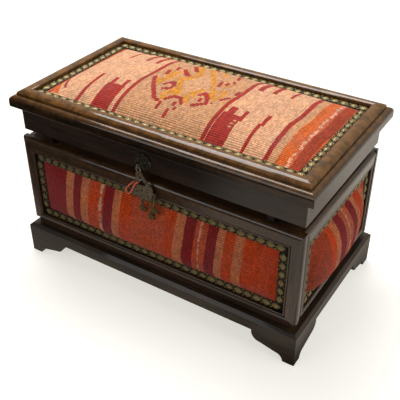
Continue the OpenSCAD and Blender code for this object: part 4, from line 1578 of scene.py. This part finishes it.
FRONT_CLOTH = Kilim(
    "front_kilim",
    stripes=(
        (-175, Yarn.WINE), (-107.5, Yarn.SAND), (-97, Yarn.MAROON), (-86, Yarn.SAND),
        (-75.5, Yarn.RUST), (-62.5, Yarn.BRICK), (-55.5, Yarn.MAROON), (-44, Yarn.SAND),
        (-34, Yarn.RUST), (-20, Yarn.BRICK), (20, Yarn.RUST), (31, Yarn.SAND),
        (41.5, Yarn.MAROON), (54, Yarn.BRICK), (66.5, Yarn.MAROON), (78, Yarn.SAND),
        (85.5, Yarn.RUST), (95.5, Yarn.SAND), (106, Yarn.RUST)),
    loops=(Loops(-59.5, 7, 1.7), Loops(-58, 5, 1.3), Loops(60, 2, 1.0)))

SIDE_CLOTH = Kilim(
    "side_kilim",
    stripes=(
        (-90, Yarn.CLAY), (-40, Yarn.RUST), (-29.5, Yarn.SAND), (-19.5, Yarn.MAROON),
        (-7, Yarn.FLECKED), (10, Yarn.MAROON), (20.5, Yarn.SAND), (29, Yarn.RUST),
        (42, Yarn.SAND), (52, Yarn.RUST)),
    loops=(Loops(2, 3, 1.3),))


# ---------------------------------------------------------------- studio


FLOOR_UNSEEN = (0.30, 0.29, 0.28)   # the floor's colour in the light it throws back at the box
FLOOR_SEEN = (0.96, 0.95, 0.93)
# Bright patches of floor that the varnish mirrors: their rise along Y, along X, and their strength
MIRRORED = (((-0.2, -0.12), (0.2, 0.05), 0.5), ((-0.17, -0.21), (-0.1, 0.0), 0.7),
            ((-0.1, -0.13), (0.09, 0.12), 0.8), ((-0.12, -0.08), (0.168, 0.185), 0.6))


@dataclass
class Studio:
    """Floor, light and camera.

    Args:
        eye: Place of the camera in metres.
        turn, tilt: The camera's direction round the box and up, in degrees.
        lens: Focal length in millimetres on a 36 mm sensor.
    """

    eye: tuple[float, float, float] = (0.3365, -0.5283, 0.5135)
    turn: float = 32.366
    tilt: float = 34.948
    lens: float = 62.466

    def floor(self) -> None:
        """Make the pale floor, which is plain white to the camera and keeps the box's shadow."""
        made = bmesh.new()
        bmesh.ops.create_grid(made, x_segments=1, y_segments=1, size=4.0)
        mesh = bpy.data.meshes.new("floor")
        made.to_mesh(mesh)
        made.free()
        material = bpy.data.materials.new("floor")
        material.use_nodes = True
        n = Nodes(material.node_tree)
        material.node_tree.nodes.clear()
        path = n.add("ShaderNodeLightPath").outputs
        seen = n.math("MAXIMUM", path["Is Camera Ray"], path["Is Transmission Ray"])
        plain = n.result("ShaderNodeBsdfDiffuse", {0: n.mix(seen, FLOOR_UNSEEN, FLOOR_SEEN)})
        white = n.result("ShaderNodeEmission", {0: (1.0, 0.98, 0.9), 1: 1.45})
        shown = n.result("ShaderNodeMixShader", {0: n.times(seen, 0.42), 1: plain, 2: white})
        x, y, _ = n.parts(n.add("ShaderNodeTexCoord").outputs["Object"])
        patches = [n.times(n.step(y, -0.02, 0.3), 0.9)]
        for depth, side, strength in MIRRORED:
            patches.append(n.times(n.times(n.step(y, *depth), n.step(x, *side)), strength))
        bright = n.plus(n.largest(patches), 0.03)
        mirrored = n.result("ShaderNodeEmission", {0: (1.0, 0.91, 0.78), 1: bright})
        both = n.result("ShaderNodeMixShader", {0: path["Is Glossy Ray"], 1: shown, 2: mirrored})
        n.feed(n.add("ShaderNodeOutputMaterial").inputs[0], both)
        floor = piece_from(mesh, "floor", material, smooth=False)

    def world(self) -> None:
        """Make the soft surrounding light, white to the camera."""
        world = bpy.data.worlds.new("studio")
        bpy.context.scene.world = world
        world.use_nodes = True
        n = Nodes(world.node_tree)
        world.node_tree.nodes.clear()
        path = n.add("ShaderNodeLightPath").outputs
        _, y, _ = n.parts(n.add("ShaderNodeTexCoord").outputs["Generated"])
        wall = n.fused(n.step(y, 0.0, 0.7), 0.55, 0.03)
        glossy = n.times(path["Is Glossy Ray"], wall)
        soft = n.times(n.minus(1.0, path["Is Glossy Ray"]), 0.25)
        colour = n.mix(path["Is Glossy Ray"], (1.0, 1.0, 1.0), (1.0, 0.93, 0.8))
        strength = n.math("MAXIMUM", path["Is Camera Ray"], n.plus(glossy, soft))
        background = n.result("ShaderNodeBackground", {0: colour, 1: strength})
        n.feed(n.add("ShaderNodeOutputWorld").inputs[0], background)

    def lamp(self, name: str, place: tuple[float, float, float], aim: tuple[float, float, float],
             size: tuple[float, float], power: float) -> None:
        """Add an area lamp.

        Args:
            name: Its name.
            place, aim: Where it stands and what it points at, in metres.
            size: Width and depth in metres.
            power: Power in watts.
        """
        data = bpy.data.lights.new(name, "AREA")
        data.shape = "RECTANGLE"
        data.size, data.size_y = size
        data.energy = power
        lamp = bpy.data.objects.new(name, data)
        lamp.location = place
        lamp.rotation_euler = (Vector(aim) - Vector(place)).to_track_quat("-Z", "Y").to_euler()
        bpy.context.scene.collection.objects.link(lamp)

    def camera(self) -> None:
        """Make the camera."""
        a, e = math.radians(self.turn), math.radians(self.tilt)
        right = Vector((math.cos(a), math.sin(a), 0))
        back = Vector((math.sin(a) * math.cos(e), -math.cos(a) * math.cos(e), math.sin(e)))
        up = back.cross(right)
        data = bpy.data.cameras.new("camera")
        data.lens = self.lens
        data.sensor_width = 36
        camera = bpy.data.objects.new("camera", data)
        turn = Matrix((right, up, back)).transposed().to_4x4()
        camera.matrix_world = Matrix.Translation(self.eye) @ turn
        bpy.context.scene.collection.objects.link(camera)
        bpy.context.scene.camera = camera

    def build(self) -> None:
        """Make the whole studio."""
        self.camera()
        self.floor()
        self.world()
        self.lamp("overhead", (-0.3, 0.32, 1.15), (0.0, 0.0, 0.15), (0.9, 0.6), 15.5)
        self.lamp("front_fill", (-0.6, -1.3, 0.9), (0.0, 0.0, 0.1), (0.8, 0.8), 4.5)
        self.lamp("side_fill", (1.3, 0.1, 0.8), (0.0, 0.0, 0.1), (0.8, 0.8), 6.5)
        bpy.context.scene.view_settings.view_transform = "Standard"


# ---------------------------------------------------------------- the box


def main() -> None:
    """Build every part of the scene in order."""
    logging.basicConfig(level=logging.INFO, format="%(message)s")
    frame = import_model()
    nodes = frame["nodes"]
    Studio().build()
    Joinery().dress(nodes)
    Hardware().dress(nodes)
    cloths = {"front": FRONT_CLOTH, "back": FRONT_CLOTH, "left": SIDE_CLOTH, "right": SIDE_CLOTH}
    brass = PressedBrass().material()
    for index, (name, panel) in enumerate(PANELS.items()):
        if name == "lid":
            pad = Pad(panel, "lid_cushion", "lid", TOP_CLOTH, edge=6.5, sag=0.0, fill=0.85, seed=11)
            strip = BossStrip(panel, "lid_strip", "lid", seed=21)
        else:
            pad = Pad(panel, f"{name}_pad", "box", cloths[name], seed=index + 2)
            strip = BossStrip(panel, f"{name}_strip", "box", seed=index + 31)
        log.info("built %s", pad.build().name)
        log.info("built %s", strip.build(brass).name)
    log.info("built %s", ThreadLoop().build().name)


if __name__ == "__main__":
    main()
